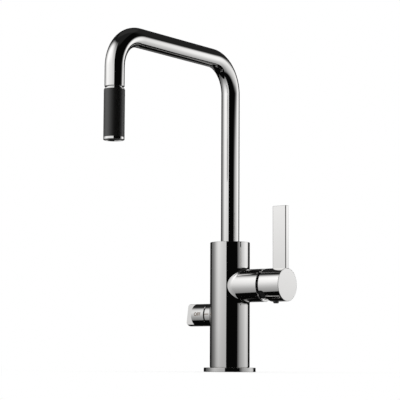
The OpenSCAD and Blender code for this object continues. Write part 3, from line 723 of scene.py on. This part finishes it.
@dataclass(frozen=True)
class SoftFinish(Finish):
    """Soft-touch rubber: nearly black face on, with a grey sheen towards its sides."""

    bump_mm: float = 0.25
    ior: float = 1.85
    face_ior: float = 1.2
    lean_edge: Pair = (-0.05, 0.75)

    def wire_up(self, book: NodeBook, where: Wire) -> None:
        """Adds the shader: a dull and a shinier coat, mixed by how far the face leans away.

        With facing = 1 - N.V, the lean is the sine of the angle between the two, the square root
        of 1 - (1 - facing) squared.

        Args:
            book: the material's nodes.
            where: the place on the piece.
        """
        facing = book.add("ShaderNodeLayerWeight", {}, {"Blend": 0.5}, output="Facing")
        lean = (1.0 - (1.0 - facing) ** 2.0) ** 0.5
        coat = {
            "Base Color": (*self.color, 1.0),
            "Roughness": (self.clouds(book, where) - 0.5) * self.rough_swing + self.roughness,
            "Normal": self.pores(book, where),
        }
        coats = [book.principled({**coat, "IOR": ior}) for ior in (self.face_ior, self.ior)]
        book.surface(book.add("ShaderNodeMixShader", {}, [lean.step(*self.lean_edge), *coats]))


@dataclass(frozen=True)
class BraidFinish(Finish):
    """A braided jacket: strands that climb both ways round the hose's last straight run."""

    axis_y: float = -REACH * MM
    strands: float = 14.0
    lay_mm: float = 5.6
    valley: float = 0.72
    crest: float = 1.15
    strand_edge: Pair = (0.1, 0.7)
    polish: float = 0.5
    rough_swing: float = 0.2

    def wire_up(self, book: NodeBook, where: Wire) -> None:
        """Adds the shader.

        With a = strands times the angle round the axis and c = a turn per lay of height, the
        braid is the product of the sines of a + c and a - c, brought between 0 and 1.

        Args:
            book: the material's nodes.
            where: the place on the piece.
        """
        x, y, z = book.parts(where)
        angle = (y - self.axis_y).of("ARCTAN2", x) * self.strands
        climb = z * (TURN / (self.lay_mm * MM))
        braid = (angle + climb).of("SINE") * (angle - climb).of("SINE") * 0.5 + 0.5
        uneven = self.clouds(book, where) - braid * self.polish
        shader = book.principled(
            {
                "Base Color": book.mix(braid.step(*self.strand_edge), self.color, self.valley, self.crest),
                "Roughness": uneven * self.rough_swing + self.roughness,
                "Normal": book.bump(braid, self.bump),
            }
        )
        book.surface(shader)


class Finishes:
    """The finishes of this tap, by the record's material slots, and what differs from them: the dome ring's
    near-black is painted shade for the narrow gap under the lever.
    """

    by_slot: ClassVar[dict[Slot, Finish]] = {
        Slot.CHROME: ChromeFinish("polished_chrome", (0.8, 0.794, 0.785)),
        Slot.BRASS: TurnedFinish("machined_brass", (0.7, 0.52, 0.24), roughness=0.28),
        Slot.STEEL: TurnedFinish("stainless_steel", (0.55, 0.56, 0.58), roughness=0.25),
        Slot.RUBBER: SoftFinish("matt_rubber", (0.0022, 0.002, 0.0018), roughness=0.42, bump=0.15),
        Slot.BLACK_PLASTIC: Finish("black_moulding", (0.02, 0.02, 0.021), roughness=0.35, mottle=0.1),
        Slot.PALE_PLASTIC: Finish("pale_moulding", (0.78, 0.78, 0.75), roughness=0.4),
        Slot.CERAMIC: Finish("lapped_ceramic", (0.88, 0.87, 0.83), roughness=0.12, coat=0.3),
        Slot.HOSE: BraidFinish("hose_jacket", (0.30, 0.31, 0.33), roughness=0.38, bump=0.6),
    }
    by_node: ClassVar[dict[str, Finish]] = {
        # Painted shade: the dome ring, whose slot is chrome, is near-black here to stand for the shade in the
        # narrow gap between the lever boss and the handle.
        "dome_ring": Finish("painted_gap_shade", (0.015, 0.015, 0.015), roughness=0.35, mottle=0.15, ior=1.4),
    }
    lettering = Finish("fired_lettering", (0.13, 0.075, 0.04), roughness=0.6, mottle=0.15, ior=1.2)


def dress(
    piece: bpy.types.Object, body: Optional[Body], slot: Slot, *nodes: str, finish: Optional[Finish] = None
) -> None:
    """Gives a new piece its finish and body, and hides the CAD nodes that it stands for.

    Args:
        piece: the piece.
        body: the body that it rides on, or None to leave it unattached.
        slot: the material slot whose finish it takes when no other finish is given.
        nodes: the CAD nodes that it replaces.
        finish: a finish other than the slot's own.
    """
    paint(piece, finish or Finishes.by_slot[slot])
    if body:
        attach(piece, body.value)
        log.info("%s rides on %s", piece.name, body.value)
    if nodes:
        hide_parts(*nodes)


def paint(piece: bpy.types.Object, finish: Finish) -> None:
    """Gives an object one finish and no other.

    Args:
        piece: the object.
        finish: its finish.
    """
    piece.data.materials.clear()
    piece.data.materials.append(finish.material())
    log.info("%s: %s", piece.name, finish.name)


# ---- Studio ----


@dataclass(frozen=True)
class SoftWall:
    """A tall curved soft light that only reflections see.

    Point (i, j) of its grid stands over the plan's curve at share i of its length and at height
    share j. The glow is one ramp along the plan times one ramp up the height, and it fades out
    over an arch.

    Attributes:
        name: the wall's name.
        plan: points to the camera's right and towards it, in metres.
        low: height of the lower edge.
        high: height of the upper edge at the plan's start and end.
        run: (share of length, glow) stops.
        rise: (share of height, glow) stops.
        arch: (share of length, share of height where the glow has halved) stops.
        fade: where the fading starts under the arch and ends over it, in shares of height.
        least: the glow where the ramps are dark.
        most: the highest glow that a ramp can hold.
        columns: points along the plan.
        rows: points up the height.
    """

    name: str
    plan: Stops
    low: float
    high: Pair
    run: Stops
    rise: Stops
    arch: Stops = ((0.0, 1.0), (1.0, 1.0))
    fade: Pair = (-0.16, 0.175)
    least: float = 0.012
    most: float = 1.5
    columns: int = 49
    rows: int = 9

    def points(self, right: np.ndarray, back: np.ndarray) -> np.ndarray:
        """The wall's grid of places.

        Args:
            right: the level direction to the camera's right.
            back: the level direction towards the camera.

        Returns:
            columns x rows x 3 places.
        """
        knots = np.array(self.plan, float)
        share = np.concatenate([[0.0], np.cumsum(np.linalg.norm(np.diff(knots, axis=0), axis=1))])
        share /= share[-1]
        u, v = np.linspace(0.0, 1.0, self.columns), np.linspace(0.0, 1.0, self.rows)
        flat = np.stack([np.interp(u, share, knots[:, k]) for k in (0, 1)], -1)
        ground = flat[:, :1] * right + flat[:, 1:] * back
        top = self.high[0] + (self.high[1] - self.high[0]) * u
        height = self.low + (top[:, None] - self.low) * v[None]
        return ground[:, None, :] + UP * height[..., None]

    def build(self, right: np.ndarray, back: np.ndarray) -> None:
        """Makes the wall and its light.

        Args:
            right: the level direction to the camera's right.
            back: the level direction towards the camera.
        """
        wall = sheet(self.name, self.points(right, back))
        made, book = new_material(self.name)
        along, up, _ = book.parts(book.add("ShaderNodeUVMap", {"uv_map": "shares"}))
        fade = 1.0 - (up - along.ramp(self.arch)).step(*self.fade)
        light = along.ramp(self.run, self.most) * up.ramp(self.rise, self.most) * fade + self.least
        book.surface(book.glow(light))
        wall.data.materials.append(made)
        wall.visible_camera = wall.visible_diffuse = wall.visible_shadow = False
        wall.visible_transmission = wall.visible_volume_scatter = False


LEFT_WALL = SoftWall(
    name="soft_wall_left",
    plan=(
        *((-0.127, 0.34), (-0.32, 0.38), (-0.52, 0.29), (-0.57, 0.12)),
        *((-0.56, -0.05), (-0.55, -0.23), (-0.5, -0.435)),
    ),
    low=-0.39,
    high=(1.5, 1.5),
    run=(
        *((0.0, 0.82), (0.08, 0.85), (0.18, 0.88), (0.3, 0.95), (0.42, 1.03)),
        *((0.54, 0.85), (0.68, 0.45), (0.8, 0.27), (1.0, 0.12)),
    ),
    rise=(
        *((0.0, 0.33), (0.081, 0.4), (0.154, 0.47), (0.221, 0.62), (0.279, 0.8)),
        *((0.349, 1.0), (0.426, 1.15), (0.471, 1.27), (0.515, 1.3)),
    ),
    arch=(
        *((0.0, 0.455), (0.03, 0.471), (0.085, 0.519), (0.16, 0.63), (0.24, 0.688)),
        *((0.36, 0.757), (0.48, 0.735), (0.62, 0.672), (0.78, 0.566), (1.0, 0.497)),
    ),
)

RIGHT_WALL = SoftWall(
    name="soft_wall_right",
    plan=((0.21, 0.235), (0.36, 0.22), (0.52, 0.1), (0.62, -0.08), (0.66, -0.28), (0.64, -0.5)),
    low=-0.36,
    high=(0.35, 0.76),
    run=(
        *((0.0, 0.05), (0.07, 0.24), (0.13, 0.42), (0.25, 0.62), (0.42, 0.83)),
        *((0.6, 1.1), (0.7, 1.2), (0.86, 1.1), (1.0, 0.9)),
    ),
    rise=(
        *((0.0, 0.45), (0.25, 0.52), (0.385, 0.62), (0.51, 0.8), (0.6, 0.95)),
        *((0.68, 1.0), (0.8, 1.0), (0.87, 0.85), (0.93, 0.45), (1.0, 0.03)),
    ),
)


@dataclass(frozen=True)
class Room:
    """What polished faces see beyond the walls: a dark room, faintly lit above, overhead and below.

    Bearings are in degrees round the object, from 0 towards the camera to 180 behind the object,
    and elevations in degrees over the level. A pair gives where a light starts and is full.
    """

    dark: float = 0.0025
    upper: float = 0.016
    upper_bearing: Pair = (98.0, 112.0)
    upper_rise: Pair = (9.0, 18.0)
    overhead: float = 0.014
    overhead_rise: Pair = (48.0, 56.0)
    lower: float = 0.12
    lower_bearing: Pair = (158.0, 172.0)
    lower_band: Pair = (-27.0, -8.0)
    lower_soft: float = 4.0

    def light(self, book: NodeBook, right: np.ndarray, back: np.ndarray) -> Wire:
        """The room's light in each direction.

        Args:
            book: the world's nodes.
            right: the level direction to the camera's right.
            back: the level direction towards the camera.

        Returns:
            The light.
        """
        direction = book.add("ShaderNodeTexCoord", output="Generated")
        across, toward = (
            book.add("ShaderNodeVectorMath", {"operation": "DOT_PRODUCT"}, [direction, tuple(axis)], "Value")
            for axis in (right, back)
        )
        rise = book.parts(direction)[2]
        bearing = across.of("ARCTAN2", toward).of("ABSOLUTE") * DEG
        elevation = rise.of("ARCSINE") * DEG
        upper = bearing.step(*self.upper_bearing) * elevation.step(*self.upper_rise) * self.upper
        overhead = elevation.step(*self.overhead_rise) * self.overhead
        band = elevation.between(*self.lower_band, self.lower_soft)
        lower = bearing.step(*self.lower_bearing) * band * self.lower
        return upper + overhead + lower + self.dark


@dataclass
class Studio:
    """Camera, plain white light, floor, and what the chrome shows: a dark room and two soft walls."""

    azimuth_deg: float = 36.715
    distance: float = 1.7551
    height: float = 0.012
    tilt_deg: float = 6.254
    roll_deg: float = 0.303
    pan_deg: float = 1.180
    focal_px: float = 1474.1
    frame_px: float = 400.0
    sensor_mm: float = 36.0
    sight: Pair = (0.05, 50.0)
    floor_half: float = 8.0
    floor_shade: Pair = (0.04, 0.4)
    floor_glow: float = 0.7
    room: Room = Room()
    walls: tuple[SoftWall, ...] = (LEFT_WALL, RIGHT_WALL)

    def axes(self) -> tuple[np.ndarray, np.ndarray]:
        """The level directions to the camera's right and from the object to the camera."""
        a = math.radians(self.azimuth_deg)
        return np.array([math.cos(a), math.sin(a), 0.0]), np.array([math.sin(a), -math.cos(a), 0.0])

    def build(self) -> None:
        """Makes the camera, the world, the floor and the walls."""
        bpy.context.scene.view_settings.view_transform = "Standard"
        self.camera()
        self.world()
        self.floor()
        for wall in self.walls:
            wall.build(*self.axes())

    def camera(self) -> None:
        """Places the camera where the photograph was taken from."""
        a, pan = math.radians(self.azimuth_deg), math.radians(self.azimuth_deg + self.pan_deg)
        tilt, roll = math.radians(self.tilt_deg), math.radians(self.roll_deg)
        forward = Vector((-math.sin(pan) * math.cos(tilt), math.cos(pan) * math.cos(tilt), math.sin(tilt)))
        right = Vector((math.cos(pan), math.sin(pan), 0.0))
        up = right.cross(forward)
        side = right * math.cos(roll) + up * math.sin(roll)
        top = up * math.cos(roll) - right * math.sin(roll)
        data = bpy.data.cameras.new("camera")
        data.sensor_width = self.sensor_mm
        data.lens = self.focal_px * self.sensor_mm / self.frame_px
        data.clip_start, data.clip_end = self.sight
        camera = bpy.data.objects.new("camera", data)
        spot = Vector((self.distance * math.sin(a), -self.distance * math.cos(a), self.height))
        turn = Matrix((side, top, -forward)).transposed().to_4x4()
        camera.matrix_world = Matrix.Translation(spot) @ turn
        bpy.context.scene.collection.objects.link(camera)
        bpy.context.scene.camera = camera

    def world(self) -> None:
        """Plain white light, with the dark room for reflections."""
        world = bpy.data.worlds.new("studio")
        bpy.context.scene.world = world
        world.use_nodes = True
        book = NodeBook(world.node_tree)
        glossy = book.add("ShaderNodeLightPath", output="Is Glossy Ray")
        level = glossy * self.room.light(book, *self.axes()) + (1.0 - glossy)
        shade = book.add("ShaderNodeBackground", {}, {"Color": WHITE, "Strength": level})
        book.add("ShaderNodeOutputWorld", {}, {"Surface": shade})
        world.cycles.sampling_method = "NONE"

    def floor(self) -> None:
        """A plain white floor that keeps the object's shadow: partly lit, partly glowing by itself."""
        edge = np.array([-self.floor_half, self.floor_half])
        floor = sheet("floor", np.stack([*np.meshgrid(edge, edge, indexing="ij"), np.zeros((2, 2))], -1))
        made, book = new_material("white_floor")
        white = book.add("ShaderNodeBsdfDiffuse", {}, {"Color": WHITE})
        far = book.add("ShaderNodeVectorMath", {"operation": "LENGTH"}, [book.place()], output="Value")
        share = far.step(*self.floor_shade) * (1.0 - self.floor_glow) + self.floor_glow
        book.surface(book.add("ShaderNodeMixShader", {}, [share, white, book.glow(1.0)]))
        floor.data.materials.append(made)
        floor.visible_glossy = False


# ---- Pieces ----


@dataclass
class Column:
    """The column with its base flange, its two bosses and the thread of the shank, in millimetres."""

    column_r: float = 23.6
    column_h: float = 153.2
    flange_r: float = 30.7
    flange_t: float = 5.0
    flange_edge: float = 0.5
    flange_foot: float = 0.4
    groove_edge: float = 0.2
    foot_r: float = 22.2
    gasket_r: float = 28.5
    gasket_in: float = 25.5
    gasket_t: float = 2.0
    lever_h: float = LEVER_H
    lever_r: float = LEVER_R
    lever_reach: float = 51.3
    lever_blend: float = 3.4
    lever_swell: float = 2.4
    valve_h: float = VALVE_H
    valve_r: float = VALVE_R
    valve_reach: float = 28.5
    valve_blend: float = 2.0
    rim: float = RIM
    thread_r: float = 16.5
    thread_depth: float = 12.0
    thread_pitch: float = 1.5
    ridge_depth: float = 0.62
    ridge_half: float = 0.42
    ridge_lean: float = 0.6
    ridge_root: float = 0.05
    ridge_least: float = 0.01

    def build(self) -> None:
        """Builds and dresses the pieces that ride on the tap's body."""
        at_lever, at_valve = lifted(self.lever_h), lifted(self.valve_h) @ Matrix.Rotation(math.pi, 4, "Z")
        lever, valve = axis_frame(self.lever_h, Axis.LEVER_SIDE), axis_frame(self.valve_h, Axis.VALVE_SIDE)
        lever_blend = saddle(self.column_r, self.lever_r, self.lever_blend, self.lever_swell)
        skins = {
            "lever_boss_blend": lever_blend.placed(at_lever),
            "valve_boss_blend": saddle(self.column_r, self.valve_r, self.valve_blend).placed(at_valve),
            "column_rim": rim_ring(self.column_r, self.column_h, self.rim),
            "lever_boss_rim": rim_ring(self.lever_r, self.lever_reach, self.rim).placed(lever),
            "valve_boss_rim": rim_ring(self.valve_r, self.valve_reach, self.rim).placed(valve),
        }
        for name, skin in skins.items():
            dress(skin.piece(name), Body.TAP, Slot.CHROME)
        dress(self.flange().piece("flange_ring"), Body.TAP, Slot.CHROME, "base_flange")
        dress(self.thread().piece("shank_thread_turns"), Body.TAP, Slot.BRASS)

    def flange(self) -> Skin:
        """Makes the base flange with rounded rims and the gasket's groove.

        Returns:
            The surface.
        """
        corners = [
            (self.foot_r, 0.0, 0.0),
            (self.gasket_in, 0.0, self.groove_edge),
            (self.gasket_in, self.gasket_t, 0.0),
            (self.gasket_r, self.gasket_t, 0.0),
            (self.gasket_r, 0.0, self.groove_edge),
            (self.flange_r, 0.0, self.flange_foot),
            (self.flange_r, self.flange_t, self.flange_edge),
            (self.foot_r, self.flange_t, 0.0),
        ]
        return turned(Loop.rounded(corners), sides=256)

    def thread(self, sides: int = 96) -> Skin:
        """The shank's thread: a ridge of three-cornered section that climbs one pitch a turn.

        Row i, at angle a_i and height pitch a_i / 360 degrees, holds the ridge's foot, crest and
        foot, with its depth and half its width in shares of the pitch. Both fade to nothing over
        the first and last quarter turn.

        Args:
            sides: rows in a turn.

        Returns:
            The surface.
        """
        turns = self.thread_depth / self.thread_pitch - 1.0
        angle = np.linspace(0.0, turns * TURN, int(turns * sides) + 1)
        middle = self.thread_pitch * (angle / TURN + 0.5)
        fade = np.clip(np.minimum(angle, angle[-1] - angle) / QUARTER, self.ridge_least, 1.0)
        deep, half = self.ridge_depth * self.thread_pitch * fade, self.ridge_half * self.thread_pitch * fade
        root = np.full_like(deep, self.ridge_root)
        radius = self.thread_r + np.stack([root, -deep, root], -1)
        height = middle[:, None] + np.stack([-half, 0 * half, half], -1)
        spoke = np.stack([np.cos(angle), np.sin(angle), 0 * angle], -1)[:, None]
        points = (spoke * radius[..., None] + UP * height[..., None]) * MM
        tilt = np.array([-1.0, 0.0, 1.0])[None, :, None]
        normals = np.broadcast_to(-spoke, points.shape) + self.ridge_lean * tilt * UP
        return Skin.grid(points, normals / np.linalg.norm(normals, axis=-1, keepdims=True), close_rows=False)


def rim_ring(radius: float, length: float, rim: float) -> Skin:
    """Makes a rounded rim for the end of a shaft, let into its chamfer.

    Args:
        radius: the shaft's radius in millimetres.
        length: the shaft's length.
        rim: the rim's reach.

    Returns:
        The surface, round the Z axis.
    """
    low = RIM_LET_IN * rim
    corners = [(radius - low, length, 0.0), (radius, length - low, 0.0), (radius, length, rim)]
    return turned(Loop.rounded(corners, steps=8), sides=256)


def over_outlet(reach: float) -> Matrix:
    """A frame round the upright line through the outlet, reach millimetres before the column."""
    return Matrix.Translation((0.0, -reach * MM, 0.0))


@dataclass
class Spout:
    """The bent spout tube and the hose in it, in millimetres."""

    tube_r: float = 11.0
    tube_in: float = 10.0
    low: float = 126.7
    bend_r: float = 39.0
    reach: float = REACH
    bend_z: float = 332.0
    outlet_z: float = 310.0
    lip: float = 0.35
    hose_r: float = 6.5
    hose_in: float = 4.0
    hose_low: float = 13.0
    hose_end_z: float = HOSE_END_Z

    def route(self, low: float) -> tuple[Route, np.ndarray]:
        """The spout's line and the lengths at which its bends need rows.

        The line climbs from low to the first bend, turns a quarter of bend_r towards -Y, runs
        level, turns down by another quarter and drops at y = -reach.

        Args:
            low: where the line starts over the worktop.

        Returns:
            The route as a function of length, and the lengths of the rows in the bends.
        """
        r, quarter = self.bend_r * MM, self.bend_r * MM * QUARTER
        rise, level = (self.bend_z - low) * MM, (self.reach - 2.0 * self.bend_r) * MM

        def at(length: np.ndarray) -> Course:
            """Follows the line.

            Args:
                length: lengths along it in metres.

            Returns:
                The place, the direction and the sideways direction at each length.
            """
            one = np.clip((length - rise) / quarter, 0.0, 1.0) * QUARTER
            two = np.clip((length - rise - quarter - level) / quarter, 0.0, 1.0) * QUARTER
            y = -r * (1.0 - np.cos(one)) - np.clip(length - rise - quarter, 0.0, level) - r * np.sin(two)
            drop = np.maximum(length - rise - 2.0 * quarter - level, 0.0)
            z = low * MM + np.minimum(length, rise) + r * np.sin(one) - r * (1.0 - np.cos(two)) - drop
            turn = one + two
            along = np.stack([0 * turn, -np.sin(turn), np.cos(turn)], -1)
            up = np.stack([0 * turn, np.cos(turn), np.sin(turn)], -1)
            return np.stack([0 * y, y, z], -1), along, up

        share = np.linspace(0.0, 1.0, BEND_ROWS)
        rows = np.concatenate([rise + quarter * share, rise + quarter + level + quarter * share])
        return at, rows / MM

    def tube(self, outer: float, inner: float, low: float, end_z: float, lip: float) -> Skin:
        """Makes a tube along the spout's line.

        Args:
            outer: the outer radius in millimetres.
            inner: the inner radius.
            low: the height where it starts.
            end_z: the height where it ends over the outlet.
            lip: the reach of the rounded edges at that end.

        Returns:
            The surface.
        """
        at, rows = self.route(low)
        end = rows[-1] + (self.bend_z - end_z)
        stops = [(0.0, 0.0), *((row, 0.0) for row in rows if row < end), (end, lip)]
        return turned(Loop.rounded(sleeve(outer, inner, stops)), sides=128, route=at)

    def hose_run(self, rows: int = 24) -> Skin:
        """Makes the hose's last straight run, from the hose's end up to the bend, where the real hose is
        drawn out with the spray.

        Args:
            rows: rows of points along it.

        Returns:
            The surface.
        """
        stops = [(row, 0.0) for row in np.linspace(self.hose_end_z, self.bend_z, rows)]
        corners = sleeve(self.hose_r, self.hose_in, stops)
        return turned(Loop.rounded(corners), sides=96).placed(over_outlet(self.reach))

    def build(self) -> None:
        """Builds and dresses the pieces that ride on the spout."""
        shell = self.tube(self.tube_r, self.tube_in, self.low, self.outlet_z, self.lip)
        dress(shell.piece("spout_shell"), Body.SPOUT, Slot.CHROME, "spout_tube")
        hose = self.tube(self.hose_r, self.hose_in, self.hose_low, self.bend_z, 0.0)
        dress(hose.piece("hose_in_spout"), Body.SPOUT, Slot.HOSE, "pull_out_hose")
        run = self.hose_run().piece("hose_last_run")
        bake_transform(run)
        dress(run, None, Slot.HOSE, "hose_outlet_run")
        log.info("%s bends between %s and %s", run.name, Body.SPOUT.value, Body.HOSE_END.value)


@dataclass
class Spray:
    """The spray head's outer pieces and the ferrule above them, in millimetres."""

    reach: float = REACH
    bottom: float = 251.2
    grip_low: float = 254.1
    grip_high: float = 306.9
    collar_high: float = 308.3
    neck_high: float = 309.7
    grip_r: float = 11.6
    core_r: float = 10.0
    collar_r: float = 11.0
    neck_r: float = 9.0
    dock_r: float = 8.6
    ferrule_r: float = 7.6
    ferrule_in: float = 3.0
    ferrule_low: float = 317.1
    ferrule_high: float = HOSE_END_Z
    crimps: int = 3
    crimp_width: float = 1.2
    crimp_depth: float = 0.35
    crimp_lead: float = 1.0
    crimp_slope: float = 0.25
    crimp_edge: float = 0.1
    grip_edges: Edges = (0.0, 0.5, 0.5, 0.0)
    ring_edges: Edges = (0.25, 0.45, 0.2, 0.0)
    collar_edges: Edges = (0.0, 0.3, 0.4, 0.0)
    neck_edges: Edges = (0.0, 0.1, 0.2, 0.0)

    def build(self) -> None:
        """Builds and dresses the spray head and the hose's ferrule."""
        at = over_outlet(self.reach)
        grip = section(self.core_r, self.grip_r, self.grip_low, self.grip_high, self.grip_edges)
        ring = section(self.core_r, self.grip_r, self.bottom, self.grip_low, self.ring_edges)
        collar = section(self.dock_r, self.collar_r, self.grip_high, self.collar_high, self.collar_edges)[:3]
        collar += section(self.dock_r, self.neck_r, self.collar_high, self.neck_high, self.neck_edges)[1:]
        for name, corners, slot, node in (
            ("grip_sleeve", grip, Slot.RUBBER, "rubber_grip"),
            ("spray_end_ring", ring, Slot.CHROME, "outlet_ring"),
            ("spray_top_collar", collar, Slot.CHROME, "spray_collar"),
        ):
            dress(turned(Loop.rounded(corners), sides=192).placed(at).piece(name), Body.SPRAY, slot, node)
        dress(self.ferrule().placed(at).piece("crimped_ferrule"), Body.HOSE_END, Slot.STEEL, "hose_ferrule")

    def ferrule(self) -> Skin:
        """Makes the ferrule with a row of crimped grooves.

        Returns:
            The surface, round the Z axis.
        """
        deep, wide = -self.crimp_depth, self.crimp_width
        step = (self.ferrule_high - self.ferrule_low - wide) / self.crimps
        starts = [self.ferrule_low + self.crimp_lead + step * k for k in range(self.crimps)]
        groove = ((0.0, 0.0), (deep, self.crimp_slope), (deep, wide - self.crimp_slope), (0.0, wide))
        corners = [(self.ferrule_in, self.ferrule_low, 0.0), (self.ferrule_r, self.ferrule_low, 0.3)]
        corners += [(self.ferrule_r + r, z + h, self.crimp_edge) for z in starts for r, h in groove]
        corners += [(self.ferrule_r, self.ferrule_high, 0.5), (self.ferrule_in, self.ferrule_high, 0.0)]
        return turned(Loop.rounded(corners), sides=96)


@dataclass
class Lever:
    """The lever's blade and the rim of its handle, in millimetres."""

    handle_r: float = LEVER_R
    handle_end: float = 83.0
    lever_h: float = LEVER_H
    blade_w: float = 19.0
    blade_t: float = 6.8
    blade_edge: float = 1.2
    blade_top: float = 193.0
    blade_low: float = 115.4
    top_edge: float = 0.6
    rim: float = RIM

    def build(self) -> None:
        """Builds and dresses the pieces that ride on the lever."""
        left, right = self.handle_end - self.blade_w, self.handle_end
        corners = section(left, right, -self.blade_t / 2.0, self.blade_t / 2.0, (self.blade_edge,) * 4)
        blade = raised(Loop.rounded(corners, steps=10), self.blade_low, self.blade_top, self.top_edge)
        dress(blade.piece("blade_bar"), Body.LEVER, Slot.CHROME, "lever_blade")
        rim = rim_ring(self.handle_r, self.handle_end, self.rim)
        rim = rim.placed(axis_frame(self.lever_h, Axis.LEVER_SIDE))
        dress(rim.piece("handle_rim"), Body.LEVER, Slot.CHROME)


@dataclass
class ValveMarks:
    """The words on the side knob and the index line on its boss, in millimetres."""

    axis_h: float = VALVE_H
    knob_r: float = VALVE_R
    on_boss: Pair = (-28.2, -22.0)
    word_x: float = -39.0
    word_h: float = 5.6
    index_deg: float = 3.0
    line_w: float = 0.9
    bold: float = 0.12
    depth: float = 0.03
    slice_h: float = 0.5

    def wrap(self, flat: np.ndarray, spot_deg: float) -> np.ndarray:
        """Wraps flat points round the knob.

        A point (u, v, w) goes to x = u and to the angle spot + v / radius above the side that
        faces -Y, at the radius plus w: y = -r cos angle, z = axis + r sin angle.

        Args:
            flat: n x 3 points in millimetres.
            spot_deg: the angle at v = 0.

        Returns:
            The places in metres.
        """
        angle = math.radians(spot_deg) + flat[:, 1] / self.knob_r
        r = self.knob_r + flat[:, 2]
        return np.stack([flat[:, 0], -r * np.cos(angle), self.axis_h + r * np.sin(angle)], -1) * MM

    def word(self, text: str, spot_deg: float) -> bpy.types.Object:
        """Sets one word on the knob, centred at word_x.

        Args:
            text: the word.
            spot_deg: its angle round the knob.

        Returns:
            The linked object.
        """
        curve = bpy.data.curves.new(text, "FONT")
        curve.body, curve.size, curve.extrude = text, self.word_h, self.depth / 2.0
        curve.offset = self.bold
        curve.align_x, curve.align_y = "CENTER", "CENTER"
        carrier = bpy.data.objects.new("carrier", curve)
        bpy.context.scene.collection.objects.link(carrier)
        mesh = bpy.data.meshes.new_from_object(carrier)
        bpy.data.objects.remove(carrier)
        self.slice(mesh)
        flat = np.empty(len(mesh.vertices) * 3, np.float32)
        mesh.vertices.foreach_get("co", flat)
        flat = flat.reshape(-1, 3).astype(float) + np.array([self.word_x, 0.0, self.depth / 2.0])
        mesh.vertices.foreach_set("co", self.wrap(flat, spot_deg).astype(np.float32).ravel())
        mesh.update()
        return linked(f"knob_word_{text.lower()}", mesh)

    def slice(self, mesh: bpy.types.Mesh) -> None:
        """Cuts flat letters into level strips, so that they can follow the knob's curve.

        Args:
            mesh: the letters, whose Y runs up them.
        """
        work = bmesh.new()
        work.from_mesh(mesh)
        for height in np.arange(-self.word_h, self.word_h, self.slice_h):
            whole = [*work.verts, *work.edges, *work.faces]
            bmesh.ops.bisect_plane(work, geom=whole, plane_co=(0.0, height, 0.0), plane_no=(0.0, 1.0, 0.0))
        work.to_mesh(mesh)
        work.free()

    def line(self) -> bpy.types.Object:
        """Makes the index line: a thin bar along X, wrapped on the boss.

        Returns:
            The linked object.
        """
        x = np.array(self.on_boss)
        v, w = np.array([-0.5, 0.5, 0.5, -0.5]) * self.line_w, np.array([0.0, 0.0, 1.0, 1.0]) * self.depth
        flat = np.stack(np.broadcast_arrays(x[:, None], v[None], w[None]), -1).reshape(-1, 3)
        mesh = bpy.data.meshes.new("index_line")
        quads = [(0, 1, 5, 4), (1, 2, 6, 5), (2, 3, 7, 6), (3, 0, 4, 7), (3, 2, 1, 0), (4, 5, 6, 7)]
        mesh.from_pydata(self.wrap(flat, self.index_deg).tolist(), [], quads)
        return linked("index_line", mesh)

    def build(self) -> None:
        """Sets OFF at the index and ON a quarter turn away, where the turned knob brings it."""
        for text, turn_deg in (("OFF", 0.0), ("ON", -90.0)):
            word = self.word(text, self.index_deg + turn_deg)
            dress(word, Body.KNOB, Slot.BLACK_PLASTIC, finish=Finishes.lettering)
        dress(self.line(), Body.TAP, Slot.BLACK_PLASTIC, finish=Finishes.lettering)


# ---- The CAD nodes that stay ----


def dress_cad_nodes(frame: dict) -> None:
    """Gives every CAD node a finish of its own or that of its material slot; the dome ring's own is
    near-black painted shade.
    """
    for row in frame["record"]["subparts"]:
        name = row["node"]
        paint(frame["nodes"][name], Finishes.by_node.get(name, Finishes.by_slot[Slot(row["material_slot"])]))


def main() -> None:
    """Builds the scene in order."""
    logging.basicConfig(level=logging.INFO, format="%(name)s: %(message)s")
    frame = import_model()
    Studio().build()
    dress_cad_nodes(frame)
    for part in (Column(), Spout(), Spray(), Lever(), ValveMarks()):
        part.build()


if __name__ == "__main__":
    main()
